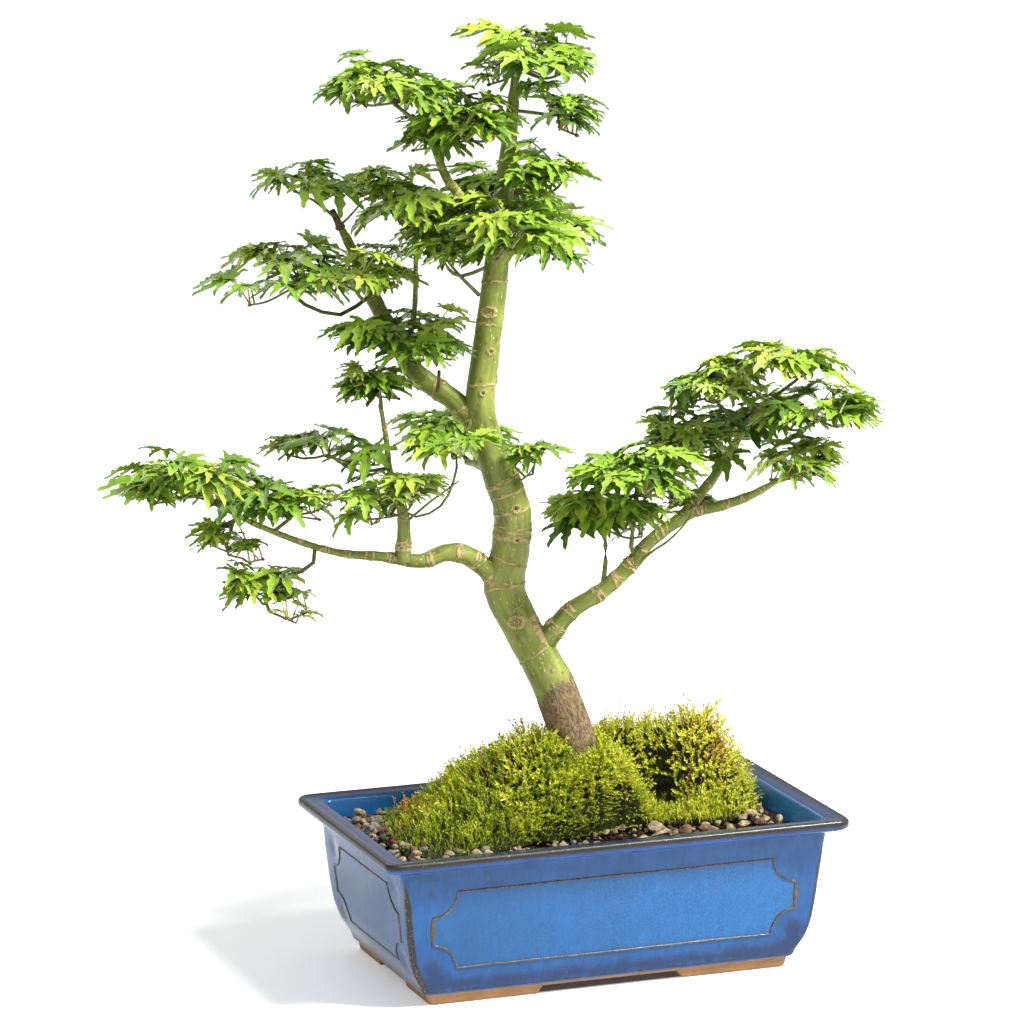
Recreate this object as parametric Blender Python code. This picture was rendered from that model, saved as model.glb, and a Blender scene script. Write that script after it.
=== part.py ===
"""Potted maple bonsai: a leaning tree with flat leaf pads in a glazed rectangular pot.

Metres, +Z up, the pot's long side along X, its front towards -Y. The pot stands on Z = 0.
Routes and places below are measured from the centre of the pot; the empty "Plant" then carries
every solid so that the middle of the whole plant's box lies over the origin.

  pot      a lofted shell with a rolled rim, four raised panel frames and four corner feet
  filling  soil, a bed of gravel and a mound of moss, each clear of the next
  limbs    a trunk and boughs, each one tapering tube, cut back where it meets its parent
  foliage  masses of three-sided twigs with one kite-shaped leaf blade per leaf, each mass one
           solid that stays inside its own convex cell of space
"""

import math
import random
from collections import namedtuple

import bmesh
import bpy
import numpy as np
from mathutils import Vector

# ---------------------------------------------------------------------------- driving sizes

GAP = 0.0003                      # clearance between neighbouring solids

POT_LENGTH, POT_WIDTH, POT_HEIGHT = 0.360, 0.2135, 0.115
RIM_RADIUS, BODY_RADIUS = 0.010, 0.006
FOOT_HEIGHT = 0.0085              # unglazed clay band
FOOT_GAP_FRONT = (0.110, 0.0062)  # width and height of the gap between the feet, long sides
FOOT_GAP_SIDE = (0.056, 0.0050)   # the same on the short sides
FOOT_RING = 0.022                 # depth of the feet, from the outside in
POT_FLOOR = 0.018                 # height of the inner floor
PANEL_TOP, PANEL_BOTTOM = 0.087, 0.029
PANEL_NOTCH = 0.0185              # radius of the hollow corners of a panel frame
PANEL_MARGIN = 0.0195             # from the panel's end to the wall's end
FRAME_HALF, FRAME_RISE = 0.0010, 0.0007

SOIL_TOP = 0.0995
GRAVEL_LEVEL = 0.1035             # flat top of the bed, where the moss lies on it
GRAVEL_BUMP = 0.0045
FLAT_ROUND_MOSS = 0.026           # the stones lie level this far out from the moss

MOSS_CENTRE = (0.005, 0.026)
# (degrees round the centre, distance to the moss's edge)
MOSS_REACH = (
    (0, 0.147), (14, 0.142), (30, 0.104), (60, 0.063), (90, 0.055), (120, 0.064), (150, 0.104),
    (166, 0.132), (180, 0.142), (196, 0.150), (205, 0.158), (212, 0.166), (220, 0.138),
    (232, 0.111), (245, 0.096), (260, 0.084), (275, 0.074), (290, 0.068), (305, 0.069),
    (317, 0.088), (327, 0.115), (336, 0.137), (348, 0.146), (360, 0.147),
)
MOSS_EDGE = 0.008
MOSS_ROUND = 1.25                 # 1 is a bell, more gives a hump a flatter top
MOSS_FALL = 4.5                   # how steeply the moss drops at its edge
# (x, y, height, spread along X, spread along Y)
MOSS_MOUNDS = (
    (-0.030, 0.036, 0.029, 0.044, 0.036),
    (-0.004, -0.004, 0.047, 0.042, 0.036),
    (0.050, 0.048, 0.051, 0.030, 0.024),
    (0.102, 0.036, 0.051, 0.034, 0.030),
    (-0.070, 0.010, 0.024, 0.050, 0.050),
    (0.130, 0.022, 0.036, 0.026, 0.034),
)
MOSS_HOLLOW = (0.076, 0.008, 0.024, 0.016, 0.020)        # a gap between the cushions

LEAF_SIZE = 0.031                 # middle lobe of a full leaf
LEAF_THICK = 0.0018
LEAF_ROOM = 0.0008                # between leaves of one mass
STALK = 0.015
LEAF_SUNK = 0.0004                # how deep a stalk's root goes into its twig
LEAF_STEP = 0.0045                # between the roots of one whorl, along the twig
LEAVES_PER_TIP = 6
TIP_SPREAD = 0.0115               # a mass has one twig tip for each of these in its reach
TWIG = 0.0013                     # radius of a twig that carries one tip
CLEAR = 0.0014                    # room kept between a mass and anything it must not touch
CELL_MARGIN = 0.0006
SEED = 3                          # deals out the twigs and leaves
FLATNESS = 2.2                    # how much flatter than round a mass's space is

# ---------------------------------------------------------------------------- limbs

# name: (parent, sides, route). A route point is (x, y, z, radius in millimetres).
LIMBS = {
    "trunk": (None, 10, (
        (0.0205, 0.000, GRAVEL_LEVEL + GAP, 22.0), (0.0205, 0.000, 0.1115, 20.4),
        (0.0165, 0.001, 0.128, 17.8), (0.007, 0.005, 0.155, 16.3),
        (-0.010, 0.012, 0.206, 15.6), (-0.030, 0.021, 0.247, 14.2), (-0.042, 0.028, 0.278, 15.0),
        (-0.038, 0.026, 0.310, 14.0), (-0.038, 0.024, 0.338, 13.4), (-0.049, 0.026, 0.371, 12.4),
        (-0.059, 0.033, 0.410, 10.9), (-0.054, 0.035, 0.454, 10.0), (-0.047, 0.036, 0.503, 9.3),
        (-0.040, 0.038, 0.560, 7.4), (-0.033, 0.036, 0.629, 4.6), (-0.031, 0.036, 0.655, 2.4))),
    "bough_left_leader": ("trunk", 7, (
        (-0.053, 0.028, 0.392, 8.6), (-0.075, 0.043, 0.417, 7.8), (-0.100, 0.060, 0.438, 7.0),
        (-0.117, 0.075, 0.473, 5.9), (-0.126, 0.083, 0.495, 5.2), (-0.139, 0.086, 0.526, 3.7),
        (-0.154, 0.083, 0.554, 1.6))),
    "bough_low_left": ("trunk", 7, (
        (-0.042, 0.028, 0.280, 8.4), (-0.058, 0.028, 0.295, 7.4), (-0.074, 0.027, 0.306, 6.9),
        (-0.089, 0.028, 0.308, 6.5), (-0.107, 0.030, 0.303, 5.2), (-0.137, 0.034, 0.308, 3.6),
        (-0.166, 0.037, 0.312, 2.7), (-0.196, 0.041, 0.322, 2.3), (-0.229, 0.046, 0.337, 2.0),
        (-0.256, 0.051, 0.352, 1.6))),
    "bough_riser": ("bough_low_left", 7, (
        (-0.120, 0.032, 0.304, 5.4), (-0.120, 0.029, 0.325, 4.8), (-0.122, 0.028, 0.345, 3.9),
        (-0.130, 0.031, 0.372, 2.4), (-0.132, 0.032, 0.394, 2.0), (-0.137, 0.031, 0.421, 1.5))),
    "bough_low_right": ("trunk", 7, (
        (-0.015, 0.014, 0.240, 7.4), (0.002, 0.007, 0.262, 6.4), (0.025, 0.003, 0.276, 5.9),
        (0.048, 0.000, 0.296, 5.6), (0.061, -0.001, 0.311, 4.9), (0.090, -0.005, 0.330, 4.2),
        (0.112, -0.012, 0.336, 3.8), (0.132, -0.021, 0.344, 3.1), (0.149, -0.032, 0.356, 1.8))),
    "bough_right_riser": ("bough_low_right", 7, (
        (0.088, -0.004, 0.329, 3.9), (0.099, -0.004, 0.344, 3.7), (0.110, -0.004, 0.356, 3.4),
        (0.126, -0.003, 0.378, 2.8), (0.137, -0.005, 0.395, 2.3), (0.149, -0.012, 0.413, 1.5))),
    "bough_crown_left": ("trunk", 7, (
        (-0.042, 0.037, 0.535, 4.9), (-0.064, 0.032, 0.557, 3.9), (-0.087, 0.025, 0.583, 3.2),
        (-0.099, 0.019, 0.607, 2.7), (-0.112, 0.018, 0.628, 1.6))),
    "bough_mid_stem": ("bough_left_leader", 6, (
        (-0.106, 0.066, 0.449, 2.6), (-0.103, 0.053, 0.481, 1.9), (-0.105, 0.043, 0.521, 1.7),
        (-0.106, 0.039, 0.545, 1.4))),
    "bough_back_low": ("trunk", 7, (
        (-0.049, 0.026, 0.368, 6.4), (-0.047, 0.057, 0.365, 4.5), (-0.046, 0.080, 0.362, 3.0),
        (-0.047, 0.096, 0.360, 1.8))),
    "bough_back_high": ("trunk", 7, (
        (-0.049, 0.036, 0.491, 5.9), (-0.041, 0.060, 0.502, 4.3), (-0.031, 0.083, 0.518, 3.1),
        (-0.022, 0.101, 0.534, 1.8))),
}

# ---------------------------------------------------------------------------- foliage

Mass = namedtuple("Mass", "limb at centre reach height via")


def mass(limb, at, centre, reach, height, *via):
    """A foliage mass: it leaves `limb` at the fraction `at` of its route, by way of the points
    `via`, and fills a flat round space about `centre`, `reach` wide and `height` high either way."""
    return Mass(limb, at, centre, reach, height, via)


MASSES = {
    "foliage_apex": mass("trunk", 1.0, (-0.026, 0.035, 0.678), 0.054, 0.026),
    "foliage_apex_right": mass("trunk", 0.955, (0.000, 0.030, 0.634), 0.038, 0.017),
    "foliage_top_left": mass("bough_crown_left", 1.0, (-0.130, 0.020, 0.655), 0.056, 0.026),
    "foliage_crown_upper": mass("bough_crown_left", 0.66, (-0.084, 0.018, 0.625), 0.046, 0.018,
                                (-0.092, 0.018, 0.614)),
    "foliage_crown_right": mass("trunk", 0.875, (-0.010, 0.014, 0.592), 0.046, 0.026),
    "foliage_crown_front": mass("trunk", 0.80, (-0.060, -0.018, 0.553), 0.058, 0.026,
                                (-0.052, 0.012, 0.531)),
    "foliage_crown_back_right": mass("trunk", 0.81, (0.002, 0.056, 0.541), 0.048, 0.024),
    "foliage_crown_left": mass("bough_mid_stem", 1.0, (-0.120, 0.040, 0.568), 0.044, 0.026),
    "foliage_crown_inner": mass("trunk", 0.76, (-0.094, 0.014, 0.537), 0.036, 0.020,
                                (-0.075, 0.032, 0.511)),
    "foliage_left_upper": mass("bough_left_leader", 1.0, (-0.168, 0.080, 0.573), 0.044, 0.018),
    "foliage_left_tier": mass("bough_left_leader", 0.67, (-0.192, 0.074, 0.514), 0.060, 0.024,
                              (-0.151, 0.078, 0.480), (-0.178, 0.076, 0.489)),
    "foliage_left_inner": mass("bough_left_leader", 0.80, (-0.136, 0.042, 0.517), 0.042, 0.022),
    "foliage_left_mid": mass("bough_left_leader", 0.44, (-0.119, 0.030, 0.465), 0.058, 0.022,
                             (-0.106, 0.042, 0.452)),
    "foliage_riser_top": mass("bough_riser", 1.0, (-0.140, 0.024, 0.435), 0.032, 0.012),
    "foliage_riser_left": mass("bough_riser", 0.60, (-0.168, 0.046, 0.392), 0.052, 0.020,
                               (-0.151, 0.040, 0.371)),
    "foliage_riser_low": mass("bough_riser", 0.40, (-0.136, 0.014, 0.352), 0.046, 0.020),
    "foliage_trunk_front": mass("bough_riser", 0.32, (-0.088, 0.002, 0.398), 0.044, 0.026,
                                (-0.110, 0.021, 0.338), (-0.095, 0.008, 0.352)),
    "foliage_far_left": mass("bough_low_left", 1.0, (-0.268, 0.050, 0.372), 0.060, 0.024),
    "foliage_far_left_inner": mass("bough_low_left", 0.80, (-0.203, 0.034, 0.351), 0.040, 0.015),
    "foliage_hanging_small": mass("bough_low_left", 0.93, (-0.250, 0.046, 0.325), 0.028, 0.013),
    "foliage_hanging": mass("bough_low_left", 0.66, (-0.222, 0.047, 0.288), 0.036, 0.022,
                            (-0.188, 0.040, 0.302), (-0.207, 0.044, 0.296)),
    "foliage_sprig": mass("trunk", 0.545, (-0.029, 0.001, 0.381), 0.031, 0.010,
                          (-0.033, 0.008, 0.364)),
    "foliage_right_shelf": mass("bough_low_right", 0.42, (0.045, -0.014, 0.370), 0.056, 0.015,
                                (0.044, -0.006, 0.312), (0.046, -0.011, 0.340)),
    "foliage_right_low": mass("bough_low_right", 0.26, (0.027, 0.004, 0.333), 0.050, 0.020,
                              (0.028, 0.004, 0.296)),
    "foliage_right_low_back": mass("bough_low_right", 0.50, (0.080, 0.018, 0.338), 0.038, 0.018),
    "foliage_right_top": mass("bough_right_riser", 1.0, (0.166, -0.032, 0.441), 0.048, 0.016),
    "foliage_right_top_left": mass("bough_right_riser", 0.72, (0.110, 0.000, 0.424), 0.042, 0.016),
    "foliage_right_mid_left": mass("bough_right_riser", 0.46, (0.098, 0.012, 0.382), 0.040, 0.018),
    "foliage_right_tip": mass("bough_right_riser", 0.80, (0.176, -0.046, 0.410), 0.048, 0.015),
    "foliage_right_under": mass("bough_low_right", 1.0, (0.160, -0.042, 0.371), 0.040, 0.017),
    "foliage_right_centre": mass("bough_right_riser", 0.63, (0.146, 0.018, 0.394), 0.042, 0.020),
    "foliage_crown_back": mass("bough_back_high", 1.0, (-0.008, 0.122, 0.560), 0.052, 0.028),
    "foliage_crown_back_left": mass("bough_back_high", 0.70, (-0.074, 0.120, 0.545), 0.052, 0.028),
    "foliage_low_back": mass("bough_back_low", 1.0, (-0.046, 0.118, 0.378), 0.052, 0.022),
}

# ---------------------------------------------------------------------------- scene helpers


def clear_scene():
    for obj in list(bpy.data.objects):
        bpy.data.objects.remove(obj, do_unlink=True)


def material(name, colour, roughness, metallic=0.0):
    """A Principled material, made once for each name."""
    found = bpy.data.materials.get(name)
    if found:
        return found
    made = bpy.data.materials.new(name)
    made.use_nodes = True
    shader = made.node_tree.nodes["Principled BSDF"]
    shader.inputs["Base Color"].default_value = (*colour, 1.0)
    shader.inputs["Roughness"].default_value = roughness
    shader.inputs["Metallic"].default_value = metallic
    made.diffuse_color = (*colour, 1.0)
    return made


def mesh_object(name, vertices, faces, finish=None, collection=None):
    mesh = bpy.data.meshes.new(name)
    mesh.from_pydata([tuple(map(float, v)) for v in vertices], [], [tuple(map(int, f)) for f in faces])
    mesh.validate()
    if finish:
        mesh.materials.append(finish)
    obj = bpy.data.objects.new(name, mesh)
    (collection or bpy.context.scene.collection).objects.link(obj)
    return obj


def boolean(obj, operation, other, solver="EXACT"):
    """Adds a Boolean with one object, or with every object of a collection."""
    step = obj.modifiers.new(operation.title(), "BOOLEAN")
    step.operation, step.solver = operation, solver
    if isinstance(other, bpy.types.Collection):
        step.operand_type, step.collection = "COLLECTION", other
    else:
        step.object = other
    return step


def bake(obj):
    """Replaces an object's mesh by what its modifiers make of it."""
    graph = bpy.context.evaluated_depsgraph_get()
    mesh = bpy.data.meshes.new_from_object(obj.evaluated_get(graph))
    obj.modifiers.clear()
    obj.data = mesh


def keep_outer_skin(obj):
    """Drops the small closed pockets and chips that crossing leaves leave in a union."""
    mesh = bmesh.new()
    mesh.from_mesh(obj.data)
    left, bodies = set(mesh.faces), []
    while left:
        body, front = [], [left.pop()]
        while front:
            face = front.pop()
            body.append(face)
            near = {other for edge in face.edges if len(edge.link_faces) == 2
                    for other in edge.link_faces} & left
            left -= near
            front += near
        bodies.append(body)
    bodies.sort(key=len)
    bmesh.ops.delete(mesh, geom=[face for body in bodies[:-1] for face in body], context="FACES")
    mesh.to_mesh(obj.data)
    mesh.free()


def join_solids(name, solids, finish):
    """Fuses overlapping closed solids, given as (vertices, faces), into one body."""
    parts = bpy.data.collections.new(name + "_parts")
    bpy.context.scene.collection.children.link(parts)
    body = mesh_object(name, *solids[0], finish)
    for number, (vertices, faces) in enumerate(solids[1:]):
        mesh_object(f"{name}_{number}", vertices, faces, finish, parts)
    boolean(body, "UNION", parts, "MANIFOLD")
    bake(body)
    keep_outer_skin(body)
    for obj in list(parts.objects):
        bpy.data.objects.remove(obj, do_unlink=True)
    bpy.data.collections.remove(parts)
    return body


def cut_round(obj, name, vertices, faces):
    """Cuts a closed helper solid out of `obj` and leaves the helper hidden."""
    cutter = mesh_object(name, vertices, faces)
    cutter.hide_render = True
    cutter.display_type = "WIRE"
    boolean(obj, "DIFFERENCE", cutter)
    return cutter


# ---------------------------------------------------------------------------- loops and lofts


def rounded_rectangle(half_x, half_y, z, radius, steps=3):
    """Counter-clockwise points of a rounded rectangle at height z."""
    points = []
    for corner in range(4):
        sx, sy = ((1, 1), (-1, 1), (-1, -1), (1, -1))[corner]
        for step in range(steps + 1):
            turn = math.radians(90 * (corner + step / steps))
            points.append((sx * (half_x - radius) + radius * math.cos(turn),
                           sy * (half_y - radius) + radius * math.sin(turn), z))
    return points


def loft(loops):
    """Bridges loops of equal length into a closed solid: (vertices, faces)."""
    count = len(loops[0])
    vertices = [point for loop in loops for point in loop]
    faces = []
    for level in range(len(loops) - 1):
        low, high = level * count, (level + 1) * count
        for i in range(count):
            j = (i + 1) % count
            faces.append((low + i, low + j, high + j, high + i))
    faces.append(tuple(range(count))[::-1])
    faces.append(tuple(range((len(loops) - 1) * count, len(loops) * count)))
    return vertices, faces


def halved(vertices, faces):
    """The same solid with every four-sided face split on the same diagonal, so that a limb and
    the wider copy that clears its seat bend along the same lines."""
    halves = [half for face in faces
              for half in ((face[:3], (face[0], face[2], face[3])) if len(face) == 4 else (face,))]
    return vertices, halves


def smooth_route(route, spacing):
    """Points on a Catmull-Rom curve through a limb's route, about `spacing` apart: an array
    of rows (x, y, z, radius), all in metres."""
    knots = np.array(route, float)
    knots[:, 3] *= 0.001
    ends = np.vstack([2 * knots[0] - knots[1], knots, 2 * knots[-1] - knots[-2]])
    rows = []
    for i in range(1, len(ends) - 2):
        p0, p1, p2, p3 = ends[i - 1:i + 3]
        pieces = max(1, round(float(np.linalg.norm((p2 - p1)[:3])) / spacing))
        for t in np.arange(pieces) / pieces:
            rows.append(0.5 * (2 * p1 + (p2 - p0) * t + (2 * p0 - 5 * p1 + 4 * p2 - p3) * t ** 2
                               + (3 * p1 - p0 - 3 * p2 + p3) * t ** 3))
    rows.append(ends[-2])
    return np.array(rows)


def frames_along(points):
    """Tangent and two side directions at each point, turned along the curve without twist."""
    tangents = np.gradient(points, axis=0)
    tangents /= np.linalg.norm(tangents, axis=1)[:, None]
    side = np.cross(tangents[0], (0.0, 1.0, 0.0))
    if np.linalg.norm(side) < 0.2:
        side = np.cross(tangents[0], (1.0, 0.0, 0.0))
    sides = []
    for tangent in tangents:
        side = side - tangent * (side @ tangent)
        side /= np.linalg.norm(side)
        sides.append(side)
    sides = np.array(sides)
    return tangents, sides, np.cross(tangents, sides)


def tube(points, radii, sides, swell=None):
    """A closed tube along points; swell(row, angle) scales its radius."""
    _, u, v = frames_along(points)
    loops = []
    for row, (point, radius) in enumerate(zip(points, radii)):
        loop = []
        for i in range(sides):
            angle = 2 * math.pi * i / sides
            r = radius * (swell(row, angle) if swell else 1.0)
            loop.append(point + r * (u[row] * math.cos(angle) + v[row] * math.sin(angle)))
        loops.append(loop)
    return loft(loops)


# ---------------------------------------------------------------------------- pot

# (half length, half width, height, corner radius), up the outside
OUTER_LEVELS = (
    (0.1400, 0.0785, 0.0000, BODY_RADIUS),
    (0.1420, 0.0800, FOOT_HEIGHT, BODY_RADIUS),
    (0.1445, 0.0820, FOOT_HEIGHT + 0.0002, BODY_RADIUS),
    (0.1465, 0.0835, 0.0140, BODY_RADIUS),
    (0.1525, 0.0862, 0.0240, BODY_RADIUS),
    (0.1570, 0.0882, 0.0380, BODY_RADIUS),
    (0.1597, 0.0897, 0.0560, BODY_RADIUS),
    (0.1640, 0.0920, 0.0930, BODY_RADIUS),
    (0.1660, 0.0930, 0.1025, BODY_RADIUS),
    (POT_LENGTH / 2 - 0.0020, POT_WIDTH / 2 - 0.0020, 0.1068, RIM_RADIUS),
    (POT_LENGTH / 2, POT_WIDTH / 2, 0.1088, RIM_RADIUS),
    (POT_LENGTH / 2, POT_WIDTH / 2, 0.1130, RIM_RADIUS),
    (POT_LENGTH / 2 - 0.0016, POT_WIDTH / 2 - 0.0016, POT_HEIGHT, RIM_RADIUS),
    (POT_LENGTH / 2 - 0.0044, POT_WIDTH / 2 - 0.0044, 0.1142, RIM_RADIUS),
)
# and down the inside
INNER_LEVELS = (
    (0.1645, 0.0915, 0.1132, BODY_RADIUS),
    (0.1600, 0.0875, 0.1050, BODY_RADIUS),
    (0.1530, 0.0830, 0.0540, BODY_RADIUS),
    (0.1450, 0.0765, POT_FLOOR, BODY_RADIUS),
)


def half_sizes(levels, z):
    """Half length and half width of a wall at height z."""
    rows = sorted(levels, key=lambda row: row[2])
    heights = [row[2] for row in rows]
    return tuple(np.interp(z, heights, [row[k] for row in rows]) for k in (0, 1))


def panel_frame(side):
    """A raised line round one wall: a rectangle with hollow quarter-round corners."""
    along_x = side in ("front", "back")
    reach = (0.1610 if along_x else 0.0903) - PANEL_MARGIN
    middle, half = (PANEL_TOP + PANEL_BOTTOM) / 2, (PANEL_TOP - PANEL_BOTTOM) / 2
    outline = []
    for corner in range(4):
        sx, sz = ((1, 1), (-1, 1), (-1, -1), (1, -1))[corner]
        for step in range(5):
            turn = math.radians(90 * (corner + 1 - step / 4) + 180)
            outline.append((sx * reach + PANEL_NOTCH * math.cos(turn),
                            middle + sz * half + PANEL_NOTCH * math.sin(turn)))
    loops = []
    centre = np.array((0.0, middle))
    for number, (s, z) in enumerate(outline):
        before = np.array(outline[number - 1])
        after = np.array(outline[(number + 1) % len(outline)])
        run = after - before
        across = np.array((run[1], -run[0])) / np.linalg.norm(run)
        ring = []
        for offset, rise in ((-FRAME_HALF, -0.0009), (0.0, FRAME_RISE), (FRAME_HALF, -0.0009)):
            at, height = np.array((s, z)) + across * offset
            half_x, half_y = half_sizes(OUTER_LEVELS[3:9], height)
            if along_x:
                sign = -1 if side == "front" else 1
                ring.append((-sign * at, sign * (half_y + rise), height))
            else:
                sign = -1 if side == "left" else 1
                ring.append((sign * (half_x + rise), sign * at, height))
        loops.append(ring)
    vertices = [point for ring in loops for point in ring]
    faces = []
    for i in range(len(loops)):
        j = (i + 1) % len(loops)
        for k in range(3):
            m = (k + 1) % 3
            faces.append((3 * i + k, 3 * j + k, 3 * j + m, 3 * i + m))
    return vertices, faces


def outward(vertices, faces):
    """The same solid with its faces turned outwards."""
    mesh = bmesh.new()
    points = [mesh.verts.new(Vector(v)) for v in vertices]
    for face in faces:
        mesh.faces.new([points[i] for i in face])
    bmesh.ops.recalc_face_normals(mesh, faces=mesh.faces)
    mesh.verts.index_update()
    result = [tuple(v.co) for v in mesh.verts], [tuple(v.index for v in f.verts) for f in mesh.faces]
    mesh.free()
    return result


def channel(length, width_low, width_high, height, along_y):
    """A gap between the feet, wider at its foot, running right under the pot."""
    section = ((-width_low / 2, -0.002), (width_low / 2, -0.002),
               (width_high / 2, height), (-width_high / 2, height))
    ends = []
    for end in (-length / 2, length / 2):
        ends.append([(s, end, z) if along_y else (end, s, z) for s, z in section])
    return outward(*loft(ends))


def make_pot():
    glaze = material("Glaze blue", (0.055, 0.190, 0.520), 0.22)
    loops = [rounded_rectangle(*level) for level in OUTER_LEVELS + INNER_LEVELS]
    pot = mesh_object("pot", *outward(*loft(loops)), glaze)
    frames = bpy.data.collections.new("panel_frames")
    bpy.context.scene.collection.children.link(frames)
    for side in ("front", "back", "left", "right"):
        mesh_object("frame_" + side, *outward(*panel_frame(side)), glaze, frames)
    boolean(pot, "UNION", frames)
    bake(pot)
    for obj in list(frames.objects):
        bpy.data.objects.remove(obj, do_unlink=True)
    bpy.data.collections.remove(frames)
    front, side = FOOT_GAP_FRONT, FOOT_GAP_SIDE
    cut_round(pot, "gap_under_long_sides", *channel(0.30, front[0] + 0.006, front[0], front[1], True))
    cut_round(pot, "gap_under_short_sides", *channel(0.40, side[0] + 0.006, side[0], side[1], False))
    recess = [rounded_rectangle(0.140 - FOOT_RING, 0.0785 - FOOT_RING, z, BODY_RADIUS)
              for z in (-0.002, FOOT_HEIGHT - 0.0005)]
    cut_round(pot, "recess_underneath", *outward(*loft(recess)))
    return pot


# ---------------------------------------------------------------------------- filling


def make_soil():
    loops = []
    for z in (POT_FLOOR + GAP, 0.054, SOIL_TOP):
        half_x, half_y = half_sizes(INNER_LEVELS, z)
        loops.append(rounded_rectangle(half_x - 0.0006, half_y - 0.0006, z, BODY_RADIUS))
    return mesh_object("soil", *outward(*loft(loops)), material("Soil", (0.060, 0.036, 0.022), 0.95))


def moss_reach(angle):
    """Distance from the moss's centre to its edge."""
    degrees, reaches = zip(*MOSS_REACH)
    return float(np.interp(math.degrees(angle) % 360, degrees, reaches))


def bell(x, y, hump, power):
    middle_x, middle_y, height, spread_x, spread_y = hump
    away = ((x - middle_x) / spread_x) ** 2 + ((y - middle_y) / spread_y) ** 2
    return height * math.exp(-away ** power)


def moss_height(x, y):
    """Height of the moss above the gravel at a place away from its edge: round humps, less the
    hollow between two of them."""
    humps = sum(bell(x, y, hump, MOSS_ROUND) for hump in MOSS_MOUNDS)
    return MOSS_EDGE + humps - bell(x, y, MOSS_HOLLOW, 1.0)


def make_gravel():
    """A bed of stones that covers the soil, flat where the moss lies on it."""
    rng = random.Random(11)
    across, deep = 20, 12
    top_x, top_y = (half - GAP * 3 for half in half_sizes(INNER_LEVELS, GRAVEL_LEVEL))
    low_x, low_y = (half - GAP * 3 for half in half_sizes(INNER_LEVELS, SOIL_TOP + GAP))
    vertices, faces = [], []
    for j in range(deep):
        for i in range(across):
            x = top_x * (2 * i / (across - 1) - 1)
            y = top_y * (2 * j / (deep - 1) - 1)
            inset = 0.004 if i in (0, across - 1) and j in (0, deep - 1) else 0.0
            x, y = x - math.copysign(inset, x), y - math.copysign(inset, y)
            angle = math.atan2(y - MOSS_CENTRE[1], x - MOSS_CENTRE[0]) % (2 * math.pi)
            away = math.hypot(x - MOSS_CENTRE[0], y - MOSS_CENTRE[1]) - moss_reach(angle)
            edge = i in (0, across - 1) or j in (0, deep - 1)
            bump = 0.0 if edge or away < FLAT_ROUND_MOSS else rng.uniform(0.2, 1.0) * GRAVEL_BUMP
            vertices.append((x, y, GRAVEL_LEVEL + bump))
    for j in range(deep - 1):
        for i in range(across - 1):
            a = j * across + i
            faces.append((a, a + 1, a + across + 1, a + across))
    rim = ([i for i in range(across)] + [across * j + across - 1 for j in range(1, deep)]
           + [across * (deep - 1) + i for i in range(across - 2, -1, -1)]
           + [across * j for j in range(deep - 2, 0, -1)])
    first = len(vertices)
    for index in rim:
        x, y, _ = vertices[index]
        vertices.append((x * low_x / top_x, y * low_y / top_y, SOIL_TOP + GAP))
    for k in range(len(rim)):
        m = (k + 1) % len(rim)
        faces.append((first + k, first + m, rim[m], rim[k]))
    faces.append(tuple(first + k for k in range(len(rim)))[::-1])
    return mesh_object("gravel", *outward(vertices, faces), material("Gravel", (0.46, 0.40, 0.31), 0.85))


def make_moss():
    """A mound of moss: rings about its centre, thin at its edge, with a round way for the trunk."""
    rng = random.Random(5)
    around, rings = 36, 8
    base = GRAVEL_LEVEL + GAP
    centre = np.array(MOSS_CENTRE)
    vertices = [(centre[0], centre[1], base + moss_height(*centre))]
    for ring in range(1, rings + 1):
        part = ring / rings
        for i in range(around):
            angle = 2 * math.pi * (i + 0.5 * (ring % 2)) / around
            x, y = centre + part * moss_reach(angle) * np.array((math.cos(angle), math.sin(angle)))
            fall = math.sqrt(max(0.0, 1 - part ** MOSS_FALL))
            lift = moss_height(x, y) * fall * rng.uniform(0.97, 1.03) if ring < rings else 0.0
            vertices.append((x, y, base + max(0.0022, lift)))
    faces = [(0, 1 + i, 1 + (i + 1) % around) for i in range(around)]
    for ring in range(1, rings):
        low, high = 1 + (ring - 1) * around, 1 + ring * around
        shift = 0 if ring % 2 else 1
        for i in range(around):
            j = (i + 1) % around
            if shift:
                faces += [(low + i, high + i, high + j), (low + i, high + j, low + j)]
            else:
                faces += [(low + i, high + i, low + j), (high + i, high + j, low + j)]
    edge, first = 1 + (rings - 1) * around, len(vertices)
    for i in range(around):
        x, y, _ = vertices[edge + i]
        vertices.append((x, y, base))
    for i in range(around):
        j = (i + 1) % around
        faces.append((edge + i, first + i, first + j, edge + j))
    faces.append(tuple(first + i for i in range(around))[::-1])
    return mesh_object("moss", *outward(vertices, faces), material("Moss", (0.300, 0.420, 0.060), 0.95))


# ---------------------------------------------------------------------------- trunk and boughs


def limb_rows(name, spacing=0.018):
    return smooth_route(LIMBS[name][2], spacing)


def flare(height, angle):
    """Surface roots: ridges that die out a few centimetres up the trunk."""
    rise = max(0.0, 1 - height / 0.055)
    return 1 + 0.22 * rise ** 2 * max(0.0, math.sin(2.5 * angle + 0.6)) ** 2


def limb_solid(name, extra=0.0):
    """The closed tube of a limb; `extra` widens and lengthens it to cut its neighbours clear."""
    parent, sides, _ = LIMBS[name]
    rows = limb_rows(name)
    if extra and not parent:
        rows = np.vstack([rows[0] - (0.0, 0.0, 0.02, 0.0), rows])
    points, radii = rows[:, :3].copy(), rows[:, 3] + extra
    tip = points[-1] - points[-2]
    points[-1] += tip / np.linalg.norm(tip) * extra
    if parent:
        return halved(*tube(points, radii, sides))
    heights = np.maximum(rows[:, 2] - LIMBS[name][2][0][2], 0.0)
    return halved(*tube(points, radii, sides, lambda row, angle: flare(heights[row], angle)))


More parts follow.
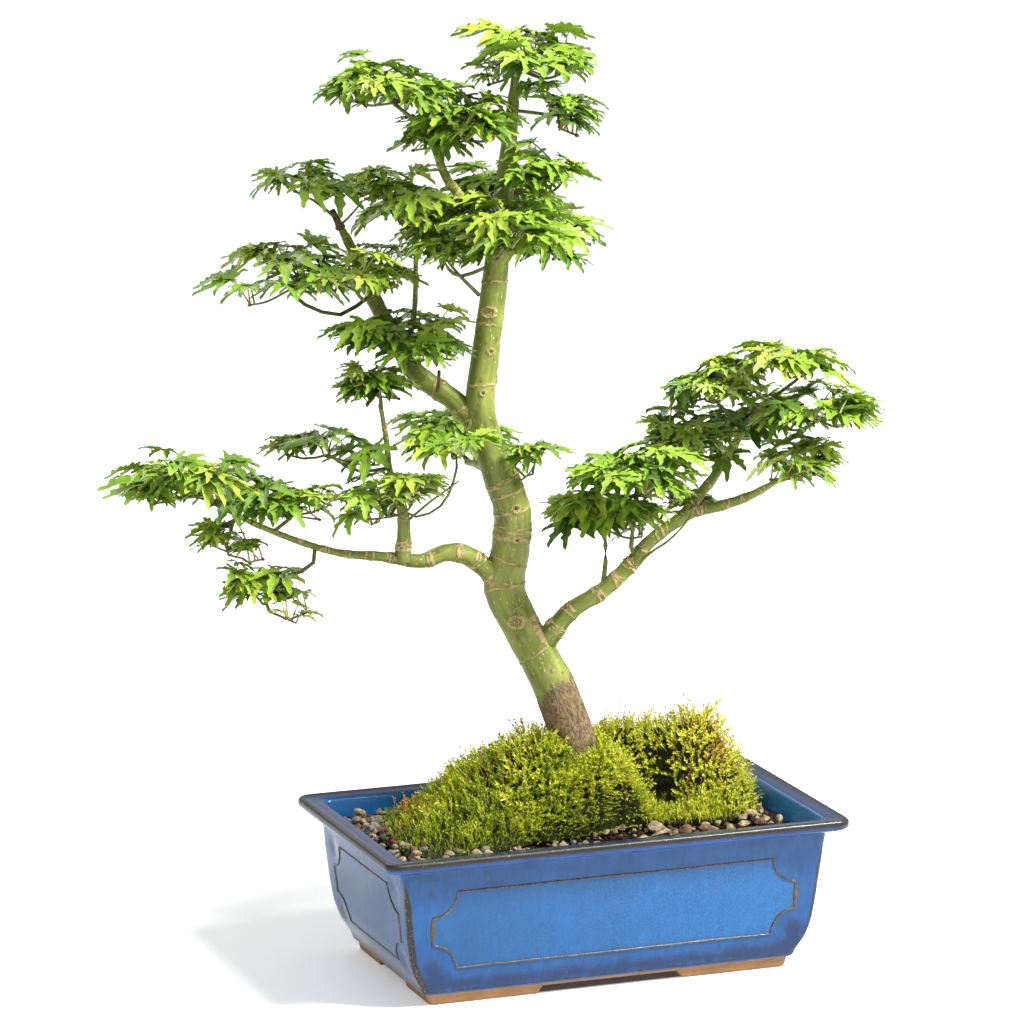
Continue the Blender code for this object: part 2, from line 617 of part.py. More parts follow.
def make_limbs():
    bark = material("Bark olive", (0.235, 0.300, 0.085), 0.62)
    limbs = {name: mesh_object(name, *outward(*limb_solid(name)), bark) for name in LIMBS}
    for name, (parent, _, _) in LIMBS.items():
        if parent:
            cut_round(limbs[name], "seat_of_" + name, *outward(*limb_solid(parent, GAP)))
    return limbs


# ---------------------------------------------------------------------------- foliage growth


def segment_distance(points, a, b):
    """Distances of every point (rows) from every segment a, b (columns)."""
    a, b = np.atleast_2d(a), np.atleast_2d(b)
    ab, ap = b - a, points[:, None] - a
    t = np.clip((ap * ab).sum(2) / np.maximum((ab * ab).sum(1), 1e-18), 0, 1)
    return np.linalg.norm(ap - t[..., None] * ab, axis=2)


def triangle_distance(points, triangles):
    """Distances of every point (rows) from every triangle (columns)."""
    a, b, c = triangles[:, 0], triangles[:, 1], triangles[:, 2]
    ab, ac, ap = b - a, c - a, points[:, None] - a
    d1, d2 = (ap * ab).sum(2), (ap * ac).sum(2)
    aa, cc, bc = (ab * ab).sum(1), (ac * ac).sum(1), (ab * ac).sum(1)
    area = np.maximum(aa * cc - bc ** 2, 1e-18)
    v, w = (cc * d1 - bc * d2) / area, (aa * d2 - bc * d1) / area
    inside = (v >= 0) & (w >= 0) & (v + w <= 1)
    flat = np.linalg.norm(ap - v[..., None] * ab - w[..., None] * ac, axis=2)
    edges = np.minimum.reduce([segment_distance(points, a, b), segment_distance(points, b, c),
                               segment_distance(points, c, a)])
    return np.where(inside, flat, edges)


def stem_route(item):
    """Points of a mass's stem: from inside its limb, through any bends, to its hub."""
    rows = limb_rows(item.limb, 0.004)
    steps = np.r_[0, np.cumsum(np.linalg.norm(np.diff(rows[:, :3], axis=0), axis=1))]
    place = item.at * steps[-1] - (0.004 if item.at == 1.0 else 0.0)
    root = np.array([np.interp(place, steps, rows[:, k]) for k in range(3)])
    hub = np.array(item.centre) - (0.0, 0.0, 0.55 * item.height)
    return [root, *(np.array(bend) for bend in item.via), hub]


class Space:
    """Where a mass may grow: its own cell of a weighted Voronoi division, inside its reach,
    and clear of every limb and of the other masses' stems. The cells have flat walls and are
    convex, so a convex piece whose corners are in the cell lies in it whole."""

    def __init__(self, name, stems):
        own = MASSES[name]
        scale = np.array((1.0, 1.0, FLATNESS))
        others = [item for other, item in MASSES.items() if other != name]
        centre = np.array(own.centre) * scale
        theirs = np.array([item.centre for item in others]) * scale
        self.walls = 2 * (theirs - centre)
        self.limits = ((theirs ** 2).sum(1) - [item.reach ** 2 for item in others]
                       - centre @ centre + own.reach ** 2)
        self.lengths = np.linalg.norm(self.walls * scale, axis=1)
        self.scale, self.own = scale, own
        solids = [limb_rows(limb, 0.004) for limb in LIMBS]
        for other, route in stems.items():
            if other != name:
                for a, b in zip(route, route[1:]):
                    count = max(2, round(float(np.linalg.norm(b - a)) / 0.004))
                    line = a + (b - a) * np.linspace(0, 1, count)[:, None]
                    solids.append(np.c_[line, np.full(count, 0.0030)])
        solids = np.vstack(solids)
        near = np.linalg.norm(solids[:, :3] - own.centre, axis=1) < own.reach * 1.3 + 0.05
        self.points, self.radii = solids[near, :3], solids[near, 3]

    def holds(self, corners, room=1.22):
        """Whether every corner is in the cell and within `room` times the mass's reach."""
        corners = np.atleast_2d(corners)
        inside = (self.limits - corners * self.scale @ self.walls.T) / self.lengths
        offset = (corners - self.own.centre) / (self.own.reach, self.own.reach, self.own.height)
        return inside.min() > CELL_MARGIN and (offset[:, :2] ** 2).sum(1).max() < room ** 2 and \
            abs(offset[:, 2]).max() < room * 1.1

    def frees(self, distances, radius):
        """Whether things this far from the limbs' centre lines miss the limbs."""
        return bool((distances > self.radii[:, None] + radius + CLEAR).all())

    def takes_twig(self, a, b, radius):
        return self.holds((a, b)) and self.frees(segment_distance(self.points, a, b), radius)

    def takes_leaf(self, leaf):
        return self.holds(leaf[1:]) and \
            self.frees(triangle_distance(self.points, blade_triangles(leaf)), LEAF_THICK / 2)


def blade_triangles(leaf):
    """The four triangles of a leaf's upper side."""
    root, left, tip, right, top, _ = leaf
    return np.array([(root, left, top), (left, tip, top), (tip, right, top), (right, root, top)])


def blade_points(leaf):
    """Points spread over a leaf: its corners and, on the lines between them, every quarter."""
    root, left, tip, right, top, _ = leaf
    lines = ((root, left), (left, tip), (tip, right), (right, root), (root, top), (left, top), (tip, top),
             (right, top))
    return np.array([a + (b - a) * t for a, b in lines for t in (0.0, 0.25, 0.5, 0.75)] + [top])


def tip_places(item, rng):
    """Places of the twig tips: a sunflower pattern over a low dome."""
    turn, count = rng.uniform(0, 2 * math.pi), max(2, round(item.reach / TIP_SPREAD))
    for number in range(count):
        out = math.sqrt((number + 0.6) / count) * 0.74
        angle = turn + number * 2.39996
        height = 0.45 * (1 - out ** 2) - 0.40 + 0.42 * (number % 3 - 1) + rng.uniform(-0.12, 0.12)
        yield np.array(item.centre) + (out * item.reach * math.cos(angle),
                                       out * item.reach * math.sin(angle), height * item.height)


def grow_twigs(item, space, stem, rng):
    """The twig tree of a mass: a list of (point, parent's number). Each tip joins the node that
    makes the shortest way back to the limb, by way of one bend."""
    nodes = [(point, number - 1) for number, point in enumerate(stem)]
    length = [0.0]
    for a, b in zip(stem, stem[1:]):
        length.append(length[-1] + float(np.linalg.norm(b - a)))
    first, tips = len(stem) - 1, []
    for place in sorted(tip_places(item, rng), key=lambda p: float(np.linalg.norm(p - stem[-1]))):
        bend_by = np.array([rng.uniform(-1, 1), rng.uniform(-1, 1), rng.uniform(-0.8, 0.2)])
        choices = sorted(range(first, len(nodes)),
                         key=lambda n: float(np.linalg.norm(nodes[n][0] - place)) + 0.45 * length[n])
        for number in choices[:4]:
            start = nodes[number][0]
            run = float(np.linalg.norm(place - start))
            if run < 0.005:
                continue
            bend = start + 0.55 * (place - start) + bend_by * 0.13 * run
            if space.takes_twig(start, bend, TWIG * 2) and space.takes_twig(bend, place, TWIG * 2):
                if run > 0.030:
                    nodes.append((bend, number))
                    length.append(length[number] + 0.6 * run)
                    number = len(nodes) - 1
                nodes.append((place, number))
                length.append(length[number] + run)
                tips.append(len(nodes) - 1)
                break
    return nodes, tips


def twig_loads(nodes, tips):
    """How many tips each node carries."""
    load = [0] * len(nodes)
    for tip in tips:
        while tip >= 0:
            load[tip] += 1
            tip = nodes[tip][1]
    return load


def twig_chains(nodes, load):
    """Splits the twig tree into unbranched runs: at a fork the heaviest twig goes on and each
    of the others starts a run of its own."""
    children = [[] for _ in nodes]
    for number, (_, parent) in enumerate(nodes):
        if parent >= 0 and load[number]:
            children[parent].append(number)
    chains, starts = [], [(0, child) for child in children[0]]
    while starts:
        fork, number = starts.pop()
        chain = [fork, number]
        while children[number]:
            follow = sorted(children[number], key=lambda child: -load[child])
            starts += [(number, child) for child in follow[1:]]
            number = follow[0]
            chain.append(number)
        chains.append(chain)
    return chains


def twig_solid(nodes, load, chain):
    """A three-sided tube through a run of nodes, thinner as it carries fewer tips."""
    points = np.array([nodes[number][0] for number in chain])
    radii = np.array([TWIG * load[number] ** 0.42 for number in chain])
    radii[0] = radii[1]
    last = points[-1] - points[-2]
    points[-1] += last / np.linalg.norm(last) * TWIG
    return outward(*tube(points, radii, 3))


def leaf_at(root, heading, size, rng):
    """Corner points of one leaf: root, left lobe, tip, right lobe and the two faces' middles.
    The stalk rises from the twig and the blade lies nearly level, drooping away from it."""
    rise, pitch, roll = (math.radians(rng.uniform(*span)) for span in ((24, 60), (-24, 0), (-12, 12)))
    stalk = STALK * rng.uniform(0.7, 1.2)
    ahead = np.array((math.cos(heading), math.sin(heading), 0.0))
    up = np.array((0.0, 0.0, 1.0))
    climb = math.cos(rise) * ahead + math.sin(rise) * up
    neck = root + stalk * climb
    along = math.cos(pitch) * ahead + math.sin(pitch) * up
    across = np.cross(up, ahead) * math.cos(roll) + up * math.sin(roll)
    normal = np.cross(along, across)
    lobe = 0.38 * size * along
    left, right = neck + lobe + across * size * 0.64, neck + lobe - across * size * 0.64
    middle = neck + along * size * 0.16
    return [root - LEAF_SUNK * climb, left, neck + along * size, right,
            middle + normal * LEAF_THICK / 2, middle - normal * LEAF_THICK / 2]


LEAF_FACES = ((0, 4, 1), (1, 4, 2), (2, 4, 3), (3, 4, 0), (0, 1, 5), (1, 2, 5), (2, 3, 5), (3, 0, 5))


def misses(leaf, tip, others, twigs):
    """Whether a leaf keeps clear of the mass's other leaves and twigs. Near its own root it may
    touch those that it shares the root with."""
    root, points = leaf[0], blade_points(leaf)
    far = np.linalg.norm(points - root, axis=1) > 0.012
    for other_tip, other in others:
        shared = other_tip == tip
        theirs = blade_points(other)
        apart = np.linalg.norm(theirs - root, axis=1) > 0.012
        mine, theirs = (points[far], theirs[apart]) if shared else (points, theirs)
        room = LEAF_ROOM * (0.6 if shared else 1.0) + LEAF_THICK / 2
        if triangle_distance(mine, blade_triangles(other)).min() < room or \
                triangle_distance(theirs, blade_triangles(leaf)).min() < room:
            return False
    return segment_distance(points[far], twigs[:, 0], twigs[:, 1]).min() > 0.0030


def grow_leaves(item, nodes, tips, space, rng):
    """Leaves at every tip, in a whorl about it; one that would leave the space, or touch a limb
    or another leaf, is turned and made smaller a few times and then skipped."""
    twigs = np.array([(nodes[parent][0], point) for point, parent in nodes if parent >= 0])
    leaves = []
    for number in range(LEAVES_PER_TIP):
        for tip in tips:
            end = nodes[tip][0]
            back = nodes[nodes[tip][1]][0] - end
            run = np.linalg.norm(back)
            root = end + back / run * min(LEAF_STEP * number, 0.85 * run)
            heading = math.atan2(-back[1], -back[0]) + number * 2.4
            for attempt in range(10):
                turn = heading + rng.uniform(-0.3, 0.3) + 0.63 * attempt
                leaf = leaf_at(root, turn, LEAF_SIZE * rng.uniform(0.9, 1.1) * 0.97 ** attempt, rng)
                if space.takes_leaf(leaf) and misses(leaf, tip, leaves, twigs):
                    leaves.append((tip, leaf))
                    break
    return [leaf for _, leaf in leaves]


def grow_mass(name, stems):
    """Twigs and leaves of a mass, as closed solids that overlap where they join."""
    item = MASSES[name]
    rng = random.Random(f"{name} {SEED}")
    space = Space(name, stems)
    nodes, tips = grow_twigs(item, space, stems[name], rng)
    load = twig_loads(nodes, tips)
    twigs = [twig_solid(nodes, load, chain) for chain in twig_chains(nodes, load)]
    return twigs + [outward(leaf, LEAF_FACES) for leaf in grow_leaves(item, nodes, tips, space, rng)]


def make_foliage():
    leaf_green = material("Foliage green", (0.160, 0.360, 0.045), 0.5)
    stems = {name: stem_route(item) for name, item in MASSES.items()}
    for name, item in MASSES.items():
        body = join_solids(name, grow_mass(name, stems), leaf_green)
        cutter = mesh_object("root_of_" + name, *outward(*limb_solid(item.limb, GAP)))
        boolean(body, "DIFFERENCE", cutter, "MANIFOLD")
        bake(body)
        keep_outer_skin(body)
        bpy.data.objects.remove(cutter, do_unlink=True)


# ---------------------------------------------------------------------------- whole plant


def centre_over_origin():
    """Parents every solid to one empty and moves it so that the box's middle is over the origin."""
    plant = bpy.data.objects.new("Plant", None)
    bpy.context.scene.collection.objects.link(plant)
    solids = [obj for obj in bpy.data.objects if obj.type == "MESH"]
    shown = [obj for obj in solids if not obj.hide_render]
    corners = np.array([vertex.co[:] for obj in shown for vertex in obj.data.vertices])
    middle = (corners.min(0) + corners.max(0)) / 2
    for obj in solids:
        obj.parent = plant
    plant.location = (-middle[0], -middle[1], 0.0)


def main():
    clear_scene()
    make_pot()
    make_soil()
    make_gravel()
    moss = make_moss()
    make_limbs()
    cut_round(moss, "way_for_trunk", *outward(*limb_solid("trunk", GAP)))
    make_foliage()
    centre_over_origin()


main()
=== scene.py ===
"""Potted maple bonsai, dressed: bark, twigs, lobed leaves, moss, gravel and a glazed pot.

The pieces stand round the packed model and replace its plain solids. Lengths are in metres, and
routes and places are measured from the middle of the pot, as in the part's own source.
"""

import math
import random
from collections import namedtuple

import bpy
import numpy as np
from mathutils import Matrix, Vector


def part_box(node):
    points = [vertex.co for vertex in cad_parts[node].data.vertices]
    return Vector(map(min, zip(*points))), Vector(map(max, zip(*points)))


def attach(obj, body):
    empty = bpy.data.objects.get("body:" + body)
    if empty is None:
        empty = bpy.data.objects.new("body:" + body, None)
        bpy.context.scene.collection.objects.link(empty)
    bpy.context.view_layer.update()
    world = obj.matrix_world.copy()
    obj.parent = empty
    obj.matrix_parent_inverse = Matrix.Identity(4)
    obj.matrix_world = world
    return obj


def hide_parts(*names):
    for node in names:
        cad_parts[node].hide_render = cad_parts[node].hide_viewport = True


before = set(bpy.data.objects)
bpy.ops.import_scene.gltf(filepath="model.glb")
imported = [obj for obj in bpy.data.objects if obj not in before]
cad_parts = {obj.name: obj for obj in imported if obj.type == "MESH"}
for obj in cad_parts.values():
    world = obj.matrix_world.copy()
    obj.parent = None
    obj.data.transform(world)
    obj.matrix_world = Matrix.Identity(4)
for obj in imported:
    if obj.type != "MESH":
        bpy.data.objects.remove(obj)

bl_info = {
    "name": "Potted Maple Bonsai",
    "version": (1, 0, 0),
    "blender": (4, 5, 0),
    "location": "View3D > Sidebar > Bonsai",
    "description": "Dresses the packed bonsai with bark, foliage, moss, gravel and a glazed pot",
    "category": "Object",
}

BODY = "root"
POT_LOW, POT_HIGH = (np.array(corner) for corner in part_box("pot"))
POT_MIDDLE = np.array([*(POT_LOW + POT_HIGH)[:2] / 2, 0.0])
GRAVEL_TOP = float(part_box("moss")[0][2])
SOIL_TOP = float(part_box("soil")[1][2])
VIEW_RIGHT = np.array((0.93544403, -0.35347484, 0.0))
VIEW_FRONT = np.array((-0.35347484, -0.93544403, 0.0))

# ---- limbs and masses

# name: (parent, route). A route point is (x, y, z, radius) in millimetres; the trunk starts
# at the top of the gravel.
LIMBS = {
    "trunk": (None, (
        (20.5, 0, 0, 22), (20.5, 0, 111.5, 20.4), (16.5, 1, 128, 17.8), (7, 5, 155, 16.3),
        (-10, 12, 206, 15.6), (-30, 21, 247, 14.2), (-42, 28, 278, 15), (-38, 26, 310, 14),
        (-38, 24, 338, 13.4), (-49, 26, 371, 12.4), (-59, 33, 410, 10.9), (-54, 35, 454, 10),
        (-47, 36, 503, 9.3), (-40, 38, 560, 7.4), (-33, 36, 629, 4.6), (-31, 36, 655, 2.4))),
    "bough_left_leader": ("trunk", (
        (-53, 28, 392, 8.6), (-75, 43, 417, 7.8), (-100, 60, 438, 7), (-117, 75, 473, 5.9),
        (-126, 83, 495, 5.2), (-139, 86, 526, 3.7), (-154, 83, 554, 1.6))),
    "bough_low_left": ("trunk", (
        (-42, 28, 280, 8.4), (-58, 28, 295, 7.4), (-74, 27, 306, 6.9), (-89, 28, 308, 6.5),
        (-107, 30, 303, 5.2), (-137, 34, 308, 3.6), (-166, 37, 312, 2.7), (-196, 41, 322, 2.3),
        (-229, 46, 337, 2), (-256, 51, 352, 1.6))),
    "bough_riser": ("bough_low_left", (
        (-120, 32, 304, 5.4), (-120, 29, 325, 4.8), (-122, 28, 345, 3.9), (-130, 31, 372, 2.4),
        (-132, 32, 394, 2), (-137, 31, 421, 1.5))),
    "bough_low_right": ("trunk", (
        (-15, 14, 240, 7.4), (2, 7, 262, 6.4), (25, 3, 276, 5.9), (48, 0, 296, 5.6), (61, -1, 311, 4.9),
        (90, -5, 330, 4.2), (112, -12, 336, 3.8), (132, -21, 344, 3.1), (149, -32, 356, 1.8))),
    "bough_right_riser": ("bough_low_right", (
        (88, -4, 329, 3.9), (99, -4, 344, 3.7), (110, -4, 356, 3.4), (126, -3, 378, 2.8),
        (137, -5, 395, 2.3), (149, -12, 413, 1.5))),
    "bough_crown_left": ("trunk", (
        (-42, 37, 535, 4.9), (-64, 32, 557, 3.9), (-87, 25, 583, 3.2), (-99, 19, 607, 2.7),
        (-112, 18, 628, 1.6))),
    "bough_mid_stem": ("bough_left_leader", (
        (-106, 66, 449, 2.6), (-103, 53, 481, 1.9), (-105, 43, 521, 1.7), (-106, 39, 545, 1.4))),
    "bough_back_low": ("trunk", (
        (-49, 26, 368, 6.4), (-47, 57, 365, 4.5), (-46, 80, 362, 3), (-47, 96, 360, 1.8))),
    "bough_back_high": ("trunk", (
        (-49, 36, 491, 5.9), (-41, 60, 502, 4.3), (-31, 83, 518, 3.1), (-22, 101, 534, 1.8))),
}

Mass = namedtuple("Mass", "limb at centre reach height closer via")


def mass(limb, at, centre, reach, height, closer, *via):
    """A foliage mass, in millimetres: it leaves `limb` at the fraction `at` of its route, by way
    of the points `via`, and fills a flat round space about `centre`, `reach` wide and `height`
    high either way. `closer` scales the usual spread of its main twigs."""
    points = [tuple(part / 1000 for part in point) for point in (centre, *via)]
    return Mass(limb, at, points[0], reach / 1000, height / 1000, closer, points[1:])


# the masses, in groups whose leaves are joined into one piece
LEAF_GROUPS = {
    "crown_top": {
        "apex": ("trunk", 1.0, (-26, 35, 671), 54, 24, 0.9),
        "apex_right": ("trunk", 0.955, (0, 30, 634), 38, 17, 1.0),
        "top_left": ("bough_crown_left", 1.0, (-130, 20, 655), 56, 26, 1.0),
        "crown_upper": ("bough_crown_left", 0.66, (-84, 18, 625), 46, 18, 0.8, (-92, 18, 614)),
        "crown_right": ("trunk", 0.875, (-24, 2, 586), 44, 26, 0.55),
    },
    "crown_front": {
        "crown_front": ("trunk", 0.8, (-60, -18, 553), 58, 26, 0.6, (-52, 12, 531)),
        "crown_left": ("bough_mid_stem", 1.0, (-120, 40, 568), 44, 26, 0.85),
        "crown_inner": ("trunk", 0.76, (-94, 14, 537), 36, 20, 0.75, (-75, 32, 511)),
        "crown_back_right": ("trunk", 0.81, (-8, 52, 545), 46, 26, 1.0),
    },
    "crown_back": {
        "crown_back": ("bough_back_high", 1.0, (-8, 122, 560), 52, 28, 1.0),
        "crown_back_left": ("bough_back_high", 0.7, (-74, 120, 545), 52, 28, 1.0),
        "low_back": ("bough_back_low", 1.0, (-46, 118, 378), 52, 22, 1.0),
    },
    "left_upper": {
        "left_upper": ("bough_left_leader", 1.0, (-168, 80, 573), 44, 18, 2.1),
        "left_tier": ("bough_left_leader", 0.67, (-192, 74, 514), 60, 24, 1.35, (-151, 78, 480),
            (-178, 76, 489)),
        "left_inner": ("bough_left_leader", 0.8, (-136, 42, 517), 42, 22, 1.0),
        "left_mid": ("bough_left_leader", 0.44, (-119, 30, 465), 58, 22, 0.85, (-106, 42, 452)),
        "riser_top": ("bough_riser", 1.0, (-140, 24, 435), 32, 12, 1.0),
    },
    "left_lower": {
        "riser_left": ("bough_riser", 0.6, (-168, 46, 392), 52, 20, 1.6, (-151, 40, 371)),
        "riser_low": ("bough_riser", 0.4, (-136, 14, 352), 46, 20, 0.85),
        "trunk_front": ("bough_riser", 0.32, (-88, 2, 398), 44, 26, 1.7, (-110, 21, 338), (-95, 8, 352)),
        "far_left": ("bough_low_left", 1.0, (-268, 50, 372), 60, 24, 1.0),
        "far_left_inner": ("bough_low_left", 0.8, (-203, 34, 351), 40, 15, 1.0),
        "hanging_small": ("bough_low_left", 0.93, (-250, 46, 325), 28, 13, 1.0),
        "hanging": ("bough_low_left", 0.66, (-222, 47, 288), 36, 22, 1.25, (-188, 40, 302),
            (-207, 44, 296)),
        "sprig": ("trunk", 0.545, (-29, 1, 381), 31, 10, 3.2, (-33, 8, 364)),
    },
    "right_lower": {
        "right_shelf": ("bough_low_right", 0.42, (45, -14, 370), 56, 15, 1.0, (44, -6, 312),
            (46, -11, 340)),
        "right_low": ("bough_low_right", 0.26, (27, 4, 333), 50, 20, 1.0, (28, 4, 296)),
        "right_low_back": ("bough_low_right", 0.5, (80, 18, 338), 38, 18, 1.0),
        "right_mid_left": ("bough_right_riser", 0.46, (98, 12, 382), 40, 18, 1.0),
        "right_centre": ("bough_right_riser", 0.63, (146, 18, 394), 42, 20, 1.0),
    },
    "right_upper": {
        "right_top": ("bough_right_riser", 1.0, (166, -32, 441), 48, 16, 1.0),
        "right_top_left": ("bough_right_riser", 0.72, (110, 0, 424), 42, 16, 1.0),
        "right_tip": ("bough_right_riser", 0.8, (176, -46, 410), 48, 15, 1.1),
        "right_under": ("bough_low_right", 1.0, (160, -42, 371), 40, 17, 1.0),
    },
}
MASSES = {"foliage_" + name: mass(*row) for rows in LEAF_GROUPS.values() for name, row in rows.items()}

# ---- mesh helpers


def add_piece(name, slot, nodes, vertices, faces, materials, kinds=None, smooth=True, values=None):
    """Makes one piece of the object from arrays: vertices (n, 3) measured from the pot's middle
    and faces of three or four corners each. `kinds` gives each face's material, and `values`
    the named numbers or vectors that the materials read at each vertex."""
    faces = [faces] if isinstance(faces, np.ndarray) else faces
    corners = np.concatenate([block.reshape(-1) for block in faces]).astype(np.int32)
    sizes = np.concatenate([np.full(len(block), block.shape[1], np.int32) for block in faces])
    starts = np.r_[0, np.cumsum(sizes)[:-1]].astype(np.int32)
    mesh = bpy.data.meshes.new(name)
    mesh.vertices.add(len(vertices))
    mesh.vertices.foreach_set("co", (vertices + POT_MIDDLE).astype(np.float32).ravel())
    mesh.loops.add(len(corners))
    mesh.loops.foreach_set("vertex_index", corners)
    mesh.polygons.add(len(sizes))
    mesh.polygons.foreach_set("loop_start", starts)
    for made in materials:
        mesh.materials.append(made)
    if kinds is not None:
        mesh.polygons.foreach_set("material_index", kinds.astype(np.int32))
    mesh.polygons.foreach_set("use_smooth", np.full(len(sizes), smooth))
    for key, data in (values or {}).items():
        data = np.asarray(data, np.float32)
        kind, field = ("FLOAT", "value") if data.ndim == 1 else ("FLOAT_VECTOR", "vector")
        mesh.attributes.new(key, kind, "POINT").data.foreach_set(field, data.ravel())
    mesh.update(calc_edges=True)
    mesh.validate()
    piece = bpy.data.objects.new(name, mesh)
    bpy.context.scene.collection.objects.link(piece)
    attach(piece, BODY)
    if nodes:
        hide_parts(*nodes)
    return piece


def grid_faces(rows, columns, closed=True):
    """Four-sided faces of a grid of rows by columns, closed round or open across its columns."""
    across = np.arange(columns if closed else columns - 1)
    low = np.arange(rows - 1)[:, None] * columns
    here, there = low + across, low + (across + 1) % columns
    return np.stack([here, there, there + columns, here + columns], axis=-1).reshape(-1, 4)


def joined(parts):
    """One (vertices, faces) pair from many pairs, the faces all with the same corner count."""
    offsets = np.cumsum([0] + [len(vertices) for vertices, _ in parts[:-1]])
    return (np.concatenate([vertices for vertices, _ in parts]),
            np.concatenate([faces + offset for (_, faces), offset in zip(parts, offsets)]))


def unit(vectors):
    """Vectors scaled to a length of 1."""
    return vectors / np.maximum(np.linalg.norm(vectors, axis=-1, keepdims=True), 1e-12)


def arc_lengths(points):
    """How far along a line of points each of them is."""
    return np.r_[0, np.cumsum(np.linalg.norm(np.diff(points, axis=0), axis=1))]


def angles_round(sides):
    """The angles of evenly spaced points round a circle."""
    return 2 * math.pi * np.arange(sides) / sides


def end_fans(rows, columns):
    """Three-sided faces that close a round grid's first and last row about two points after it."""
    ring, total = np.arange(columns), rows * columns
    after, last = (ring + 1) % columns, total - columns
    return np.concatenate([np.stack([after, ring, np.full(columns, total)], -1),
                           np.stack([ring + last, after + last, np.full(columns, total + 1)], -1)])


def smooth_route(route, spacing):
    """Points on a Catmull-Rom curve through rows (x, y, z, radius), about `spacing` apart."""
    knots = np.asarray(route, float)
    ends = np.vstack([2 * knots[0] - knots[1], knots, 2 * knots[-1] - knots[-2]])
    rows = []
    for i in range(1, len(ends) - 2):
        p0, p1, p2, p3 = ends[i - 1:i + 3]
        pieces = max(1, round(float(np.linalg.norm((p2 - p1)[:3])) / spacing))
        t = (np.arange(pieces) / pieces)[:, None]
        rows.append(0.5 * (2 * p1 + (p2 - p0) * t + (2 * p0 - 5 * p1 + 4 * p2 - p3) * t ** 2
                           + (3 * p1 - p0 - 3 * p2 + p3) * t ** 3))
    return np.vstack([*rows, ends[-2]])


def limb_rows(name, spacing):
    """Points and radii along a limb, in metres, about `spacing` apart."""
    route = np.array(LIMBS[name][1], float)
    route[:, :3] /= 1000
    route[:, 2] = np.maximum(route[:, 2], GRAVEL_TOP)
    route[:, 3] *= 0.001
    return smooth_route(route, spacing)


def frames_along(points):
    """Tangent and two side directions at each point, turned along the curve without twist."""
    tangents = unit(np.gradient(points, axis=0))
    side = np.cross(tangents[0], (0.0, 1.0, 0.0))
    if np.linalg.norm(side) < 0.2:
        side = np.cross(tangents[0], (1.0, 0.0, 0.0))
    sides = []
    for tangent in tangents:
        side = unit(side - tangent * (side @ tangent))
        sides.append(side)
    sides = np.array(sides)
    return tangents, sides, np.cross(tangents, sides)


def thin_tubes(points, radii, sides):
    """Many thin tubes at once: points (n, rows, 3) and radii (n, rows). A ring is its point plus
    radius * (cos a * u + sin a * v), u and v square to the tube; each end is one closing face."""
    count, rows = radii.shape
    tangents = unit(np.gradient(points, axis=1))
    whole = unit(points[:, -1] - points[:, 0])
    aside = np.where(np.abs(whole[:, 2:3]) < 0.8, [[0.0, 0.0, 1.0]], [[1.0, 0.0, 0.0]])
    u = unit(np.cross(tangents, aside[:, None]))
    v = np.cross(tangents, u)
    angles = angles_round(sides)
    ring = np.cos(angles)[:, None] * u[:, :, None] + np.sin(angles)[:, None] * v[:, :, None]
    vertices = points[:, :, None] + radii[:, :, None, None] * ring
    first = np.arange(count)[:, None, None] * rows * sides
    walls = (grid_faces(rows, sides) + first).reshape(-1, 4)
    start = np.arange(sides)[::-1] + first[:, 0]
    end = np.arange(sides) + first[:, 0] + (rows - 1) * sides
    return vertices.reshape(-1, 3), walls, np.vstack([start, end])


def waves(points, seed, scale, octaves=3):
    """Smooth noise in -1..1 at points (n, 3): a sum of sines along random directions whose
    frequencies double with each octave while their heights halve."""
    rng = np.random.default_rng(seed)
    total, weight = np.zeros(len(points)), 0.0
    for octave in range(octaves):
        directions = unit(rng.normal(size=(5, 3))) * 2 * math.pi * 2 ** octave / scale
        phases = rng.uniform(0, 2 * math.pi, 5)
        total += np.sin(points @ directions.T + phases).sum(1) * 0.5 ** octave / 2.2
        weight += 0.5 ** octave
    return total / weight


# ---- growth

GOLDEN_ANGLE = 2.39996    # turn between neighbours in a sunflower pattern
FULL_TURN = 6.28          # in radians, for random turns
STEM_INSIDE = 0.004       # how far inside a limb's end the stem on it starts
LIMB_STEP = 0.004         # distance between the points of a limb that foliage keeps clear of
FLATNESS = 2.2            # how much flatter than round a mass's space is
CELL_MARGIN = 0.0004      # least distance of a twig from the wall of its cell
CLEAR = 0.0012            # room between foliage and any limb it doesn't grow from
SIDE_SHOOTS = 0.42        # how often a tip has a shoot on either side
LEAF_FAN = (-0.55, 0.60, -1.65, 1.75, 2.9, -2.6)   # headings of a spray's leaves, in radians


def stem_route(item):
    """Points of a mass's stem: from inside its limb, through any bends, to its hub."""
    rows = limb_rows(item.limb, LIMB_STEP)
    steps = arc_lengths(rows[:, :3])
    place = item.at * steps[-1] - (STEM_INSIDE if item.at == 1.0 else 0.0)
    root = np.array([np.interp(place, steps, rows[:, k]) for k in range(3)])
    hub = np.array(item.centre) - (0.0, 0.0, 0.55 * item.height)
    return [root, *(np.array(bend) for bend in item.via), hub]


